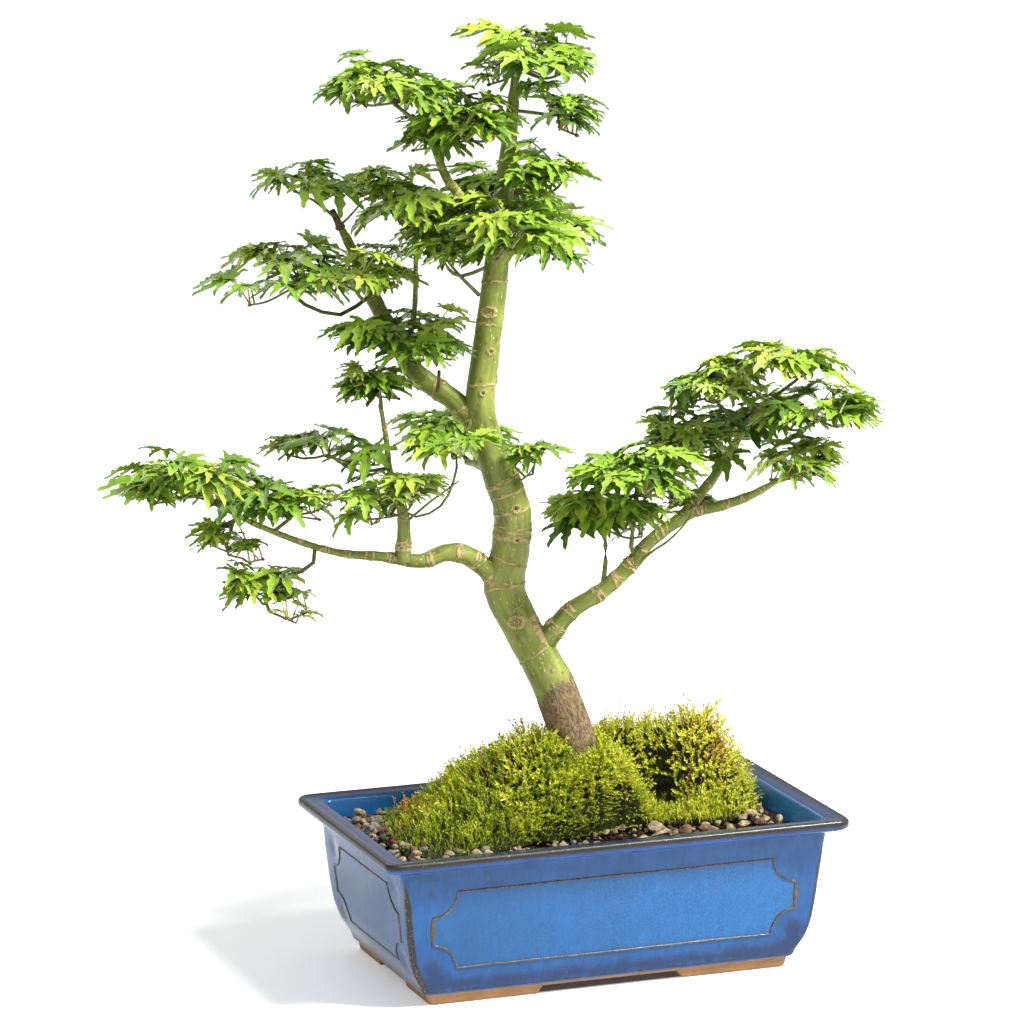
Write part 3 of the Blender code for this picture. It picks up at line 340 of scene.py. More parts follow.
class Space:
    """Where a mass may grow: its own cell of a weighted Voronoi division, inside its reach, and
    clear of every limb. A point is in the cell where it lies on the near side of each wall."""

    def __init__(self, name):
        own = MASSES[name]
        self.scale, self.own = np.array((1.0, 1.0, FLATNESS)), own
        others = [item for other, item in MASSES.items() if other != name]
        centre = np.array(own.centre) * self.scale
        theirs = np.array([item.centre for item in others]) * self.scale
        self.walls = 2 * (theirs - centre)
        self.limits = ((theirs ** 2).sum(1) - [item.reach ** 2 for item in others]
                       - centre @ centre + own.reach ** 2)
        self.lengths = np.linalg.norm(self.walls * self.scale, axis=1)
        limbs = np.vstack([limb_rows(limb, LIMB_STEP) for limb in LIMBS])
        near = np.linalg.norm(limbs[:, :3] - own.centre, axis=1) < own.reach * 1.3 + 0.05
        self.points, self.radii = limbs[near, :3], limbs[near, 3]

    def holds(self, corners, room=1.22, margin=CELL_MARGIN):
        """Whether every corner is in the cell and within `room` times the mass's reach."""
        corners = np.atleast_2d(corners)
        inside = (self.limits - corners * self.scale @ self.walls.T) / self.lengths
        offset = (corners - self.own.centre) / (self.own.reach, self.own.reach, self.own.height)
        return inside.min() > margin and (offset[:, :2] ** 2).sum(1).max() < room ** 2 and \
            abs(offset[:, 2]).max() < room * 1.1

    def frees(self, points, radius):
        """Whether points keep clear of the limbs by more than the radius of what is there."""
        apart = np.linalg.norm(self.points[:, None] - np.atleast_2d(points)[None], axis=2)
        return bool((apart > self.radii[:, None] + radius + CLEAR).all())

    def takes_twig(self, start, end, radius):
        """Whether a straight twig fits between two points."""
        line = start + (end - start) * np.linspace(0.0, 1.0, 6)[:, None]
        return self.holds(line) and self.frees(line, radius)


def tip_places(item, rng, spread):
    """Places of the twig tips: a sunflower pattern in three tiers, the upper one drawn in."""
    turn, count = rng.uniform(0, 2 * math.pi), max(3, round(item.reach / spread))
    for number in range(count):
        tier = (number + 1) % 3 - 1
        out = math.sqrt((number + 0.6) / count) * (0.66 - 0.14 * tier) * rng.uniform(0.85, 1.12)
        angle = turn + number * GOLDEN_ANGLE
        height = 0.30 * (1 - out ** 2) - 0.74 + 0.44 * tier + rng.uniform(-0.10, 0.10)
        yield np.array(item.centre) + (out * item.reach * math.cos(angle),
                                       out * item.reach * math.sin(angle), height * item.height)


def grow_twigs(item, space, stem, rng, spread):
    """The twig tree of a mass: a list of (point, parent's number). Each tip joins the node that
    makes the shortest way back to the limb, by way of one bend."""
    nodes = [(point, number - 1) for number, point in enumerate(stem)]
    length = [0.0]
    for a, b in zip(stem, stem[1:]):
        length.append(length[-1] + float(np.linalg.norm(b - a)))
    first, tips = len(stem) - 1, []
    places = tip_places(item, rng, spread)
    for place in sorted(places, key=lambda p: float(np.linalg.norm(p - stem[-1]))):
        bend_by = np.array([rng.uniform(-1, 1), rng.uniform(-1, 1), rng.uniform(-0.8, 0.2)])
        choices = sorted(range(first, len(nodes)),
                         key=lambda n: float(np.linalg.norm(nodes[n][0] - place)) + 0.45 * length[n])
        for number in choices[:4]:
            start = nodes[number][0]
            run = float(np.linalg.norm(place - start))
            if run < 0.005:
                continue
            bend = start + 0.55 * (place - start) + bend_by * 0.16 * run
            if space.takes_twig(start, bend, 0.001) and space.takes_twig(bend, place, 0.001):
                if run > 0.014:
                    nodes.append((bend, number))
                    length.append(length[number] + 0.6 * run)
                    number = len(nodes) - 1
                nodes.append((place, number))
                length.append(length[number] + run)
                tips.append(len(nodes) - 1)
                break
    return nodes, tips


def grow_shoots(nodes, tips, space, rng):
    """Finer twigs: from the last run of each tip, a short shoot to either side that ends in a
    tip of its own."""
    for tip in list(tips):
        end, parent = nodes[tip]
        back = nodes[parent][0] - end
        ahead = unit(-back)
        aside = unit(np.cross(ahead, (0.0, 0.0, 1.0)) + 1e-6)
        for side in (-1, 1):
            if rng.random() > SIDE_SHOOTS:
                continue
            root = end + back * rng.uniform(0.25, 0.6)
            heading = ahead * rng.uniform(0.3, 0.8) + side * aside * rng.uniform(0.6, 1.0)
            place = root + unit(heading + (0, 0, rng.uniform(-0.1, 0.5))) * rng.uniform(0.010, 0.019)
            if space.takes_twig(root, place, 0.0008):
                nodes.append((root, parent))
                nodes.append((place, len(nodes) - 1))
                tips.append(len(nodes) - 1)


def twig_loads(nodes, tips):
    """How many tips each node carries."""
    load = [0] * len(nodes)
    for tip in tips:
        while tip >= 0:
            load[tip] += 1
            tip = nodes[tip][1]
    return load


def twig_chains(nodes, load):
    """Splits the twig tree into unbranched runs: at a fork the heaviest twig goes on and each
    of the others starts a run of its own."""
    children = [[] for _ in nodes]
    for number, (_, parent) in enumerate(nodes):
        if parent >= 0 and load[number]:
            children[parent].append(number)
    chains, starts = [], [(0, child) for child in children[0]]
    while starts:
        fork, number = starts.pop()
        chain = [fork, number]
        while children[number]:
            follow = sorted(children[number], key=lambda child: -load[child])
            starts += [(number, child) for child in follow[1:]]
            number = follow[0]
            chain.append(number)
        chains.append(chain)
    return chains


Leaf = namedtuple("Leaf", "root neck ahead across normal size kind template")


def grow_leaves(item, nodes, tips, space, rng, settings):
    """Leaves in a flat spray about every tip, fanned out from the middle of the mass on long
    stalks; one that would leave the space or touch a limb is turned and made smaller, then
    skipped. A few sprays are young: small, pale and raised."""
    leaves, up = [], np.array((0.0, 0.0, 1.0))
    for tip in tips:
        end = nodes[tip][0]
        back = nodes[nodes[tip][1]][0] - end
        run = np.linalg.norm(back)
        away = end - np.array(item.centre)
        outer = math.hypot(away[0], away[1]) > 0.15 * item.reach
        out = math.atan2(away[1], away[0]) if outer else rng.uniform(-math.pi, math.pi)
        height = away[2] / item.height
        spray, young = rng.random(), rng.random() < settings.young
        room = 1.02 + 0.30 * rng.random() ** 2
        for number in range(settings.leaves_per_tip + rng.randrange(-1, 2)):
            root = end + back / run * min(0.0035 * (number // 2), 0.8 * run)
            for attempt in range(6):
                turn = out + LEAF_FAN[number % 6] + rng.uniform(-0.45, 0.45) + 0.55 * attempt
                size = settings.leaf_size * rng.triangular(0.55, 1.18, 0.92) * 0.93 ** attempt
                size *= 0.55 if young else 1.0
                climb = math.radians(rng.uniform(18, 62) + (15 if young else 0))
                pitch = math.radians(rng.uniform(-26, 6) + 6 * height + (14 if young else 0))
                roll = math.radians(rng.uniform(-20, 20))
                flat = np.array((math.cos(turn), math.sin(turn), 0.0))
                stalk = settings.stalk * rng.uniform(0.5, 1.3) * (0.6 if young else 1.0)
                neck = root + stalk * (math.cos(climb) * flat + math.sin(climb) * up)
                ahead = math.cos(pitch) * flat + math.sin(pitch) * up
                across = np.cross(up, flat) * math.cos(roll) + up * math.sin(roll)
                corners = [neck, neck + size * 0.5 * ahead, neck + size * ahead,
                           neck + size * (0.45 * ahead + 0.62 * across),
                           neck + size * (0.45 * ahead - 0.62 * across)]
                if space.holds(corners, room, -0.010) and space.frees(corners, 0.0):
                    leaves.append(Leaf(root, neck, ahead, across, np.cross(ahead, across), size,
                                       (spray + 0.9 * young, height),
                                       rng.randrange(LEAF_TEMPLATES)))
                    break
    return leaves


# ---- leaf shape

LEAF_TEMPLATES = 10
# (angle from the middle lobe in degrees, length, width over length, teeth on each side)
LOBES = ((0, 1.00, 0.150, 4), (34, 0.90, 0.160, 4), (-34, 0.90, 0.160, 4),
         (70, 0.68, 0.175, 3), (-70, 0.68, 0.175, 3), (112, 0.40, 0.200, 2), (-112, 0.40, 0.200, 2))


def lobe(angle, length, width, teeth, rng):
    """One lobe on a grid of three columns: the midrib and the two toothed edges. With t from 0 to
    1 along it, its half width is `width` times a spindle that opens at 0.45 of its length and
    ends in a long point, cut back at every second row for the teeth; the edges rise from the
    midrib like a shallow V, and the midrib arches down and ripples."""
    rows = 2 * teeth + 1
    t = np.linspace(0, 1, rows)
    spindle = np.interp(t, (0, 0.12, 0.42, 0.70, 0.88, 1), (0.60, 0.75, 1.0, 0.74, 0.34, 0.0))
    notch = np.where(np.arange(rows) % 2, 1.14, 0.74)
    notch[0] = 1.0
    half = length * width * spindle * notch
    forward = np.where(np.arange(rows) % 2, 0.55 / rows, 0.0) * length * (t < 0.99)
    turn = math.radians(angle) * (1 + 0.06 * t) + rng.uniform(-0.05, 0.05) + 0.10 * rng.normal() * t
    along = np.stack([np.cos(turn), np.sin(turn)], -1)
    square = np.stack([-along[:, 1], along[:, 0]], -1)
    rib = along * (t * length)[:, None]
    arch = -rng.uniform(0.18, 0.40) * (t * length) ** 2 + 0.11 * t
    ripple = 0.030 * np.sin(2 * math.pi * (rng.uniform(1.1, 1.9) * t + rng.random())) * t
    fold = rng.uniform(0.25, 0.75)
    crimp = 0.030 * length * np.sin(math.pi * np.arange(rows) + rng.uniform(-0.5, 0.5)) * spindle
    heights = arch + ripple
    twist = rng.uniform(-0.35, 0.35) * t
    left = np.c_[rib + along * forward[:, None] + square * half[:, None],
                 heights + half * (fold + twist) + crimp]
    right = np.c_[rib + along * forward[:, None] - square * half[:, None],
                  heights + half * (fold - twist) - crimp]
    middle = np.c_[rib, heights]
    vertices = np.concatenate([left[:-1], middle, right[:-1]])
    a, m = np.arange(rows - 2), rows - 1
    quads = np.concatenate([np.stack([a, a + 1, m + a + 1, m + a], -1),
                            np.stack([m + a, m + a + 1, m + rows + a + 1, m + rows + a], -1)])
    tip = m + rows - 1
    ends = np.array([[m - 1, tip, m + rows - 2], [m + rows - 2, tip, m + rows + m - 1]])
    across = np.concatenate([np.ones(m), np.zeros(rows), np.ones(m)])
    return vertices, quads[:, ::-1], ends[:, ::-1], across


def joined_blades(blades):
    """One mesh from many: its vertices, its four-sided and three-sided faces, and how far out
    each vertex is."""
    first = np.cumsum([0] + [len(blade[0]) for blade in blades[:-1]])
    vertices, quads, ends, across = zip(*blades)
    return (np.concatenate(vertices), np.concatenate([a + k for a, k in zip(quads, first)]),
            np.concatenate([a + k for a, k in zip(ends, first)]), np.concatenate(across))


def leaf_template(rng):
    """A palmate blade of one unit's middle lobe: seven lobes that overlap a little at its neck."""
    return joined_blades([lobe(*row, rng) for row in LOBES])


def leaf_meshes(leaves, templates):
    """Many leaves as one mesh: a corner is neck + size * (x * ahead + y * across + z * normal) of
    its template's (x, y, z). Gives the vertices, the four- and three-sided faces, the number of
    the leaf that each face is in, and how far each vertex is from its lobe's midrib."""
    blades = []
    for leaf in leaves:
        shape, walls, tips, out = templates[leaf.template]
        axes = np.stack([leaf.ahead, leaf.across, leaf.normal])
        blades.append((leaf.neck + leaf.size * shape @ axes, walls, tips, out))
    vertices, quads, ends, across = joined_blades(blades)
    owners = [np.repeat(np.arange(len(blades)), [len(blade[kind]) for blade in blades])
              for kind in (1, 2)]
    return vertices, [quads, ends], np.concatenate(owners), across


def stalk_points(leaves):
    """Centre lines (n, rows, 3) of the leaf stalks: out of the twig along a quadratic curve that
    first climbs and then levels off into the blade."""
    root = np.array([leaf.root for leaf in leaves])
    neck = np.array([leaf.neck for leaf in leaves])
    ahead = np.array([leaf.ahead for leaf in leaves])
    size = np.array([leaf.size for leaf in leaves])
    t = np.linspace(0, 1, 5)[None, :, None]
    knee = root + (neck - root) * 0.55 + [0, 0, 0.0022]
    curve = (1 - t) ** 2 * root[:, None] + 2 * t * (1 - t) * knee[:, None] + t ** 2 * neck[:, None]
    end = neck + ahead * (size * 0.05)[:, None]
    return np.concatenate([curve, end[:, None]], axis=1)


# ---- bark shape

# rings left by pruned shoots and bud scales: (height on the trunk, half width in mm, rise to the
# right, where it is strongest as a turn from the front in degrees, how much of the way round)
TRUNK_RINGS = (
    (0.3590, 0.8, 0.10, 0, 1.0), (0.3612, 0.5, 0.12, 20, 0.5), (0.3512, 1.4, 0.0, 25, 0.45),
    (0.3378, 1.1, 0.12, 8, 1.0), (0.3262, 0.7, 0.0, 0, 1.0), (0.3234, 0.7, -0.04, 0, 1.0),
    (0.3181, 2.3, -0.05, 10, 1.0), (0.3002, 0.7, -0.20, 0, 1.0), (0.2838, 0.8, -0.05, 30, 0.5),
    (0.2806, 0.9, 0.20, 0, 1.0), (0.2310, 0.6, 0.15, 10, 1.0), (0.2630, 0.5, 0.20, 50, 0.2),
    (0.4300, 0.8, 0.10, 30, 0.8), (0.4740, 0.7, -0.10, 0, 0.8), (0.5050, 0.8, 0.12, 60, 1.0),
    (0.5400, 0.8, -0.10, 20, 1.0), (0.5900, 0.8, 0.10, 0, 1.0), (0.6250, 0.7, 0.0, 0, 1.0),
    (0.2500, 0.8, 0.0, 170, 0.5), (0.3800, 1.0, 0.1, 180, 0.6), (0.4550, 0.9, 0.0, 200, 0.5),
)
# closed pruning wounds: (height, turn from the front, radius, depth of the middle)
TRUNK_KNOTS = (
    (0.3409, 15, 0.0040, 1.0), (0.3181, 15, 0.0036, 1.0), (0.2552, -4, 0.0064, 0.35),
    (0.4830, -10, 0.0064, 0.4), (0.4550, 22, 0.0032, 0.6), (0.4245, 10, 0.0030, 0.6),
    (0.2870, 150, 0.0060, 0.6),
    (0.3950, -160, 0.0050, 0.7), (0.5250, 120, 0.0040, 0.6), (0.2330, 175, 0.0065, 0.5),
    (0.4350, 95, 0.0040, 0.7),
)
# seams where bark is pinched between limbs: (height, turn from the front) down each
SEAMS = (((0.3000, -82), (0.2915, -62), (0.2855, -48), (0.2800, -30)),
         ((0.2545, 50), (0.2440, 46), (0.2330, 42)))
SEAM_WIDTHS = (0.0015, 0.0034)
CORK_LINE = 0.2045        # below this height the bark is brown and corky


def flare(height, angle):
    """Surface roots: ridges that die out a few centimetres up the trunk."""
    rise = np.maximum(0.0, 1 - height / 0.055)
    return 1 + 0.22 * rise ** 2 * np.maximum(0.0, np.sin(2.5 * angle + 0.6)) ** 2


def ring_scars(height, turn, rings, seed):
    """Raised, wrinkled rings: for each ring a flat-topped bell of the distance to its tilted
    plane, kept where the turn is near its strongest side."""
    total = np.zeros_like(height)
    for number, (at, half, rise, strongest, share) in enumerate(rings):
        wobble = 0.0005 * np.sin(turn * 3 + number) + 0.0003 * np.sin(turn * 7 + 2 * number + seed)
        away = height - at - rise * 0.012 * np.sin(turn) - wobble
        near = np.abs((turn - math.radians(strongest) + math.pi) % (2 * math.pi) - math.pi)
        kept = 1 / (1 + np.exp((near - math.pi * share * 1.1) * 6))
        width = 0.001 * half * (1 + 0.22 * np.sin(turn * 11 + number * 1.7))
        fold = 0.80 + 0.20 * np.cos(away / 0.0005)
        total = np.maximum(total, fold * kept * np.exp(-(away / width) ** 4))
    return total


def knot_scars(height, turn, radius, knots):
    """Closed wounds: oval folds about a sunken middle. Gives (lift, scar, hollow)."""
    lift, scar, hollow = np.zeros_like(height), np.zeros_like(height), np.zeros_like(height)
    for at, facing, size, depth in knots:
        aside = ((turn - math.radians(facing) + math.pi) % (2 * math.pi) - math.pi) * radius
        around = np.arctan2(height - at, aside)
        rough = 1 + 0.08 * np.sin(2 * around + at * 900) + 0.04 * np.sin(5 * around + at * 400)
        away = np.hypot(aside, (height - at) * 1.35) / (size * rough)
        lip = np.exp(-((away - 0.82) / 0.15) ** 2)
        middle = np.exp(-(away / 0.30) ** 2)
        folds = 0.5 + 0.5 * np.cos(2 * math.pi * away / 0.30)
        lift += 0.0008 * lip - 0.0022 * depth * middle + 0.0003 * folds * (away < 1)
        broken = 0.70 + 0.45 * np.sin(3 * around + at * 700) * np.sin(2 * around + at * 300)
        scar = np.maximum(scar, np.maximum(lip * broken, 0.85 * folds ** 2 * (away < 1.0)))
        # Painted shade: the hollow darkens the wound's middle the deeper it sinks, and the creases
        # between its folds.
        creases = 0.50 * (1 - folds) * (away > 0.3) * (away < 0.60)
        hollow = np.maximum(hollow, np.maximum(middle * depth, creases))
    return lift, scar, hollow


def bark_skin(name, spacing, sides):
    """The bark of one limb as a grid along its route. A point is the route's point plus r times
    the outward direction, r being the limb's radius with flare, swellings at the scars, corky
    plates low on the trunk and fine waves. Gives vertices, faces and the numbers the bark reads."""
    parent = LIMBS[name][0]
    rows = limb_rows(name, spacing)
    points, radii = rows[:, :3], rows[:, 3]
    _, u, v = frames_along(points)
    steps = arc_lengths(points)
    angle = angles_round(sides)
    outward = np.cos(angle)[:, None] * u[:, None] + np.sin(angle)[:, None] * v[:, None]
    count = len(points)
    radius = np.repeat(radii, sides).reshape(count, sides)
    height = np.repeat(points[:, 2], sides).reshape(count, sides)
    along = np.repeat(steps, sides).reshape(count, sides)
    turn = np.arctan2(outward @ VIEW_RIGHT, outward @ VIEW_FRONT)
    spot = points[:, None] + outward * radius[..., None]
    flat = spot.reshape(-1, 3)
    seed = sum(map(ord, name))
    slow = waves(flat, seed, 0.030, 2).reshape(count, sides)
    fine = waves(flat * (1, 1, 0.45), seed + 1, 0.0050, 3).reshape(count, sides)
    if parent:
        rng = np.random.default_rng(seed)
        length = steps[-1]
        places = np.arange(0.013, length - 0.004, 0.017)
        places = places + rng.uniform(-0.004, 0.004, len(places))
        rings = [(at + step, rng.uniform(0.5, 1.1), rng.uniform(-0.3, 0.3), rng.uniform(0, 360),
                  rng.uniform(0.5, 1.0)) for at in places for step in (0.0, 0.0024, 0.0046)]
        size = np.interp(places, steps, radii)
        knots = [(at + 0.003, rng.uniform(0, 360), min(0.0040, 0.62 * r), 0.6)
                 for at, r in zip(places[::2], size[::2]) if r > 0.0024]
        scar = ring_scars(along, turn, rings, seed)
        lift, wound, hollow = knot_scars(along, turn, radius, knots)
        swell = sum(0.10 * np.exp(-((along - at) / 0.0035) ** 2) for at in places)
        root = np.exp(-along / 0.012)
        profile = radius * (1 + 0.22 * root + swell * 0.7)
        cork = 0.25 * np.exp(-along / 0.010)
        scar = np.maximum(scar, np.exp(-((along - radii[0] * 1.9) / 0.0016) ** 2) * 0.9)
    else:
        profile = radius * flare(height - points[0, 2], angle[None, :])
        scar = ring_scars(height, turn, TRUNK_RINGS, seed)
        lift, wound, hollow = knot_scars(height, turn, radius, TRUNK_KNOTS)
        for seam, width in zip(SEAMS, SEAM_WIDTHS):
            seam_z, seam_turn = np.array(seam)[::-1].T
            away = (turn - np.radians(np.interp(height, seam_z, seam_turn))) * radius
            on_seam = (height < seam_z[-1]) & (height > seam_z[0])
            scar = np.maximum(scar, np.exp(-(away / width) ** 4) * on_seam)
        edge = CORK_LINE + 0.0040 * slow + 0.0050 * np.sin(turn) + 0.0022 * np.sin(turn * 4 + 1)
        cork = 1 / (1 + np.exp((height - edge) / 0.0024))
        profile = profile * (1 + 0.035 * sum(np.exp(-((height - ring[0]) / 0.006) ** 2)
                                             for ring in TRUNK_RINGS[:10:3]))
    scar = np.maximum(scar * np.clip(0.85 + 0.6 * fine, 0.35, 1.0), wound)
    plates = np.abs(waves(flat * (1.0, 1.0, 0.30), seed + 2, 0.0050, 2).reshape(count, sides))
    r = profile * (1 + 0.020 * slow) + lift * (radius / 0.015) ** 0.5
    r += 0.00055 * scar * np.minimum(1.0, radius / 0.006) + 0.00010 * fine
    r += cork * (0.0004 * np.minimum(1.0, plates * 2.2) - 0.0002 + 0.0002 * fine)
    vertices = (points[:, None] + outward * r[..., None]).reshape(-1, 3)
    ends = np.array([points[0], points[-1] + (points[-1] - points[-2]) * 0.6])
    stretch = np.stack([np.cos(angle) * radius, np.sin(angle) * radius, along], -1).reshape(-1, 3)
    pad = np.zeros(2)
    values = {"scar": np.r_[scar.ravel(), pad], "cork": np.r_[cork.ravel(), cork[0, 0], cork[-1, 0]],
              "hollow": np.r_[hollow.ravel(), pad],
              "flow": np.vstack([stretch, stretch[0], stretch[-1]])}
    return np.vstack([vertices, ends]), [grid_faces(count, sides), end_fans(count, sides)], values


def stub_skin(base, end, radius, sides=12):
    """A pruned stub: a short tube from the bark outwards with a rough, sunken end."""
    t = np.array([0, 0.3, 0.6, 0.85, 1.0, 1.0, 0.93])
    swell = np.array([1.5, 1.1, 0.95, 0.98, 0.92, 0.55, 0.05])
    points = np.array(base) + (np.array(end) - base) * t[:, None]
    axis = unit(np.array(end) - base)
    u = unit(np.cross(axis, (0.3, 1.0, 0.2)))
    v = np.cross(axis, u)
    angle = angles_round(sides)
    rough = 1 + 0.10 * np.sin(3 * angle + radius * 9e3)
    ring = (np.cos(angle) * rough)[:, None] * u + (np.sin(angle) * rough)[:, None] * v
    vertices = points[:, None] + ring * (radius * swell)[:, None, None]
    return vertices.reshape(-1, 3), grid_faces(len(t), sides)


# ---- pot shape

BODY_CORNER, RIM_CORNER = 0.006, 0.010
RECESS, POT_FLOOR = 0.0080, 0.0180    # heights of the underside and of the floor inside
FOOT_GAP_LONG, FOOT_GAP_SHORT = (0.055, 0.0062), (0.028, 0.0050)   # half width, height
# (half length, half width, height) up the foot, the wall and the rim, in tenths of a millimetre
FOOT_LEVELS = np.array((
    (1180, 565, 80), (1180, 565, 8), (1188, 573, 0), (1391, 776, 0), (1400, 785, 9),
    (1410, 792, 45), (1419, 799, 78), (1426, 805, 85))) / 10000
WALL_LEVELS = np.array((
    (1445, 820, 86), (1452, 826, 105), (1465, 835, 140), (1492, 848, 185), (1525, 862, 240),
    (1549, 873, 305), (1570, 882, 380), (1597, 897, 560), (1620, 909, 760), (1640, 920, 930),
    (1660, 930, 1025))) / 10000
RIM_LEVELS = np.array((
    (1668, 935, 1046), (1710, 975, 1056), (1760, 1028, 1064), (1786, 1053, 1076), (1798, 1065, 1092),
    (1800, 1067, 1112), (1797, 1064, 1132), (1788, 1055, 1146), (1776, 1043, 1150), (1764, 1031, 1146),
    (1750, 1017, 1141), (1700, 968, 1138), (1660, 930, 1136), (1645, 915, 1130), (1634, 904, 1112),
    (1622, 893, 1080), (1606, 880, 1030), (1560, 848, 900))) / 10000


def ring_path(half_x, half_y, corner, straight_x, straight_y, arc):
    """Points round a rectangle with round corners, starting at the middle of the back's right
    half: for each corner an arc of `arc` steps and after it the straight side, evenly stepped.
    Gives the points, the outward directions and how near each is to a corner's middle (0 to 1)."""
    points, outward, nearness = [], [], []
    for quarter, (sx, sy) in enumerate(((1, 1), (-1, 1), (-1, -1), (1, -1))):
        turn = math.pi / 2 * (quarter + np.linspace(0, 1, arc + 1))
        centre = np.array((sx * (half_x - corner), sy * (half_y - corner)))
        away = np.stack([np.cos(turn), np.sin(turn)], -1)
        points.append(centre + corner * away)
        outward.append(away)
        nearness.append(1 - np.abs(np.linspace(-1, 1, arc + 1)))
        steps = straight_x if quarter % 2 == 0 else straight_y
        after = ((-sx, sy), (sx, -sy), (-sx, sy), (sx, -sy))[quarter]
        corner_after = np.array((after[0] * (half_x - corner), after[1] * (half_y - corner)))
        start, end = points[-1][-1], corner_after + corner * away[-1]
        t = (np.arange(1, steps) / steps)[:, None]
        points.append(start + (end - start) * t)
        outward.append(np.repeat(away[-1:], steps - 1, axis=0))
        nearness.append(np.zeros(steps - 1))
    return np.concatenate(points), np.concatenate(outward), np.concatenate(nearness)


def foot_gap(points):
    """Height of the underside of the foot above the table: the gap's height between its slanted
    ends on each side, and nothing under the corners."""
    def lift(at, half, height):
        return height * np.clip((half - np.abs(at)) / 0.0030 + 0.5, 0.0, 1.0)
    on_long = np.abs(points[:, 1]) > np.abs(points[:, 0]) * 0.0785 / 0.140
    return np.where(on_long, lift(points[:, 0], *FOOT_GAP_LONG), lift(points[:, 1], *FOOT_GAP_SHORT))


def pot_levels(step=0.0016):
    """Rows (half length, half width, height, corner radius, thin glaze) from under the pot, out
    over its foot, up the wall, over the rim and down inside."""
    foot = [(*row, BODY_CORNER, 0.0) for row in FOOT_LEVELS]
    levels = WALL_LEVELS
    heights = np.linspace(levels[0, 2], levels[-1, 2], round(float(np.ptp(levels[:, 2])) / step))
    wall = [(np.interp(z, levels[:, 2], levels[:, 0]), np.interp(z, levels[:, 2], levels[:, 1]), z,
             BODY_CORNER, 0.0) for z in heights]
    rim = [(x, y, z, np.interp(x, (0.1668, 0.1760), (BODY_CORNER + 0.0008, RIM_CORNER)), edge)
           for (x, y, z), edge in zip(RIM_LEVELS, RIM_THIN)]
    inside = [(0.1530, 0.0830, 0.0540, BODY_CORNER, 0.0), (0.1450, 0.0765, POT_FLOOR, BODY_CORNER, 0.0)]
    return foot + wall + rim + inside


# how thin the glaze is at each row of the rim
RIM_THIN = (0.9, 0.1, 0.0, 0.0, 0.25, 0.75, 0.9, 1.0, 0.9, 0.75, 0.35, 0.10, 0.1, 0.55, 0.2, 0.1,
            0.1, 0.1)
PANEL_HEIGHT, PANEL_RISE, PANEL_NOTCH = 0.058, 0.029, 0.0185
PANEL_REACH = (0.1415, 0.0708)       # half lengths of the long and the short panels


def hand_made(points):
    """How far the wall stands out from its plain form: slow waves from the mould, and a shallow
    dent outside each notch of the panels, as deep as a bell of the distance to it."""
    lift = 0.00035 * waves(points, 31, 0.075, 2)
    for reach, along in ((PANEL_REACH[0], 0), (PANEL_REACH[1], 1)):
        for side in (-1, 1):
            for rise in (-1, 1):
                away = np.hypot(points[:, along] - side * (reach - 0.004),
                                points[:, 2] - PANEL_HEIGHT - rise * (PANEL_RISE - 0.004))
                facing = np.abs(points[:, 1 - along]) > (0.080 if along == 0 else 0.140)
                lift -= 0.0011 * np.exp(-(away / 0.0085) ** 2) * facing
    return lift


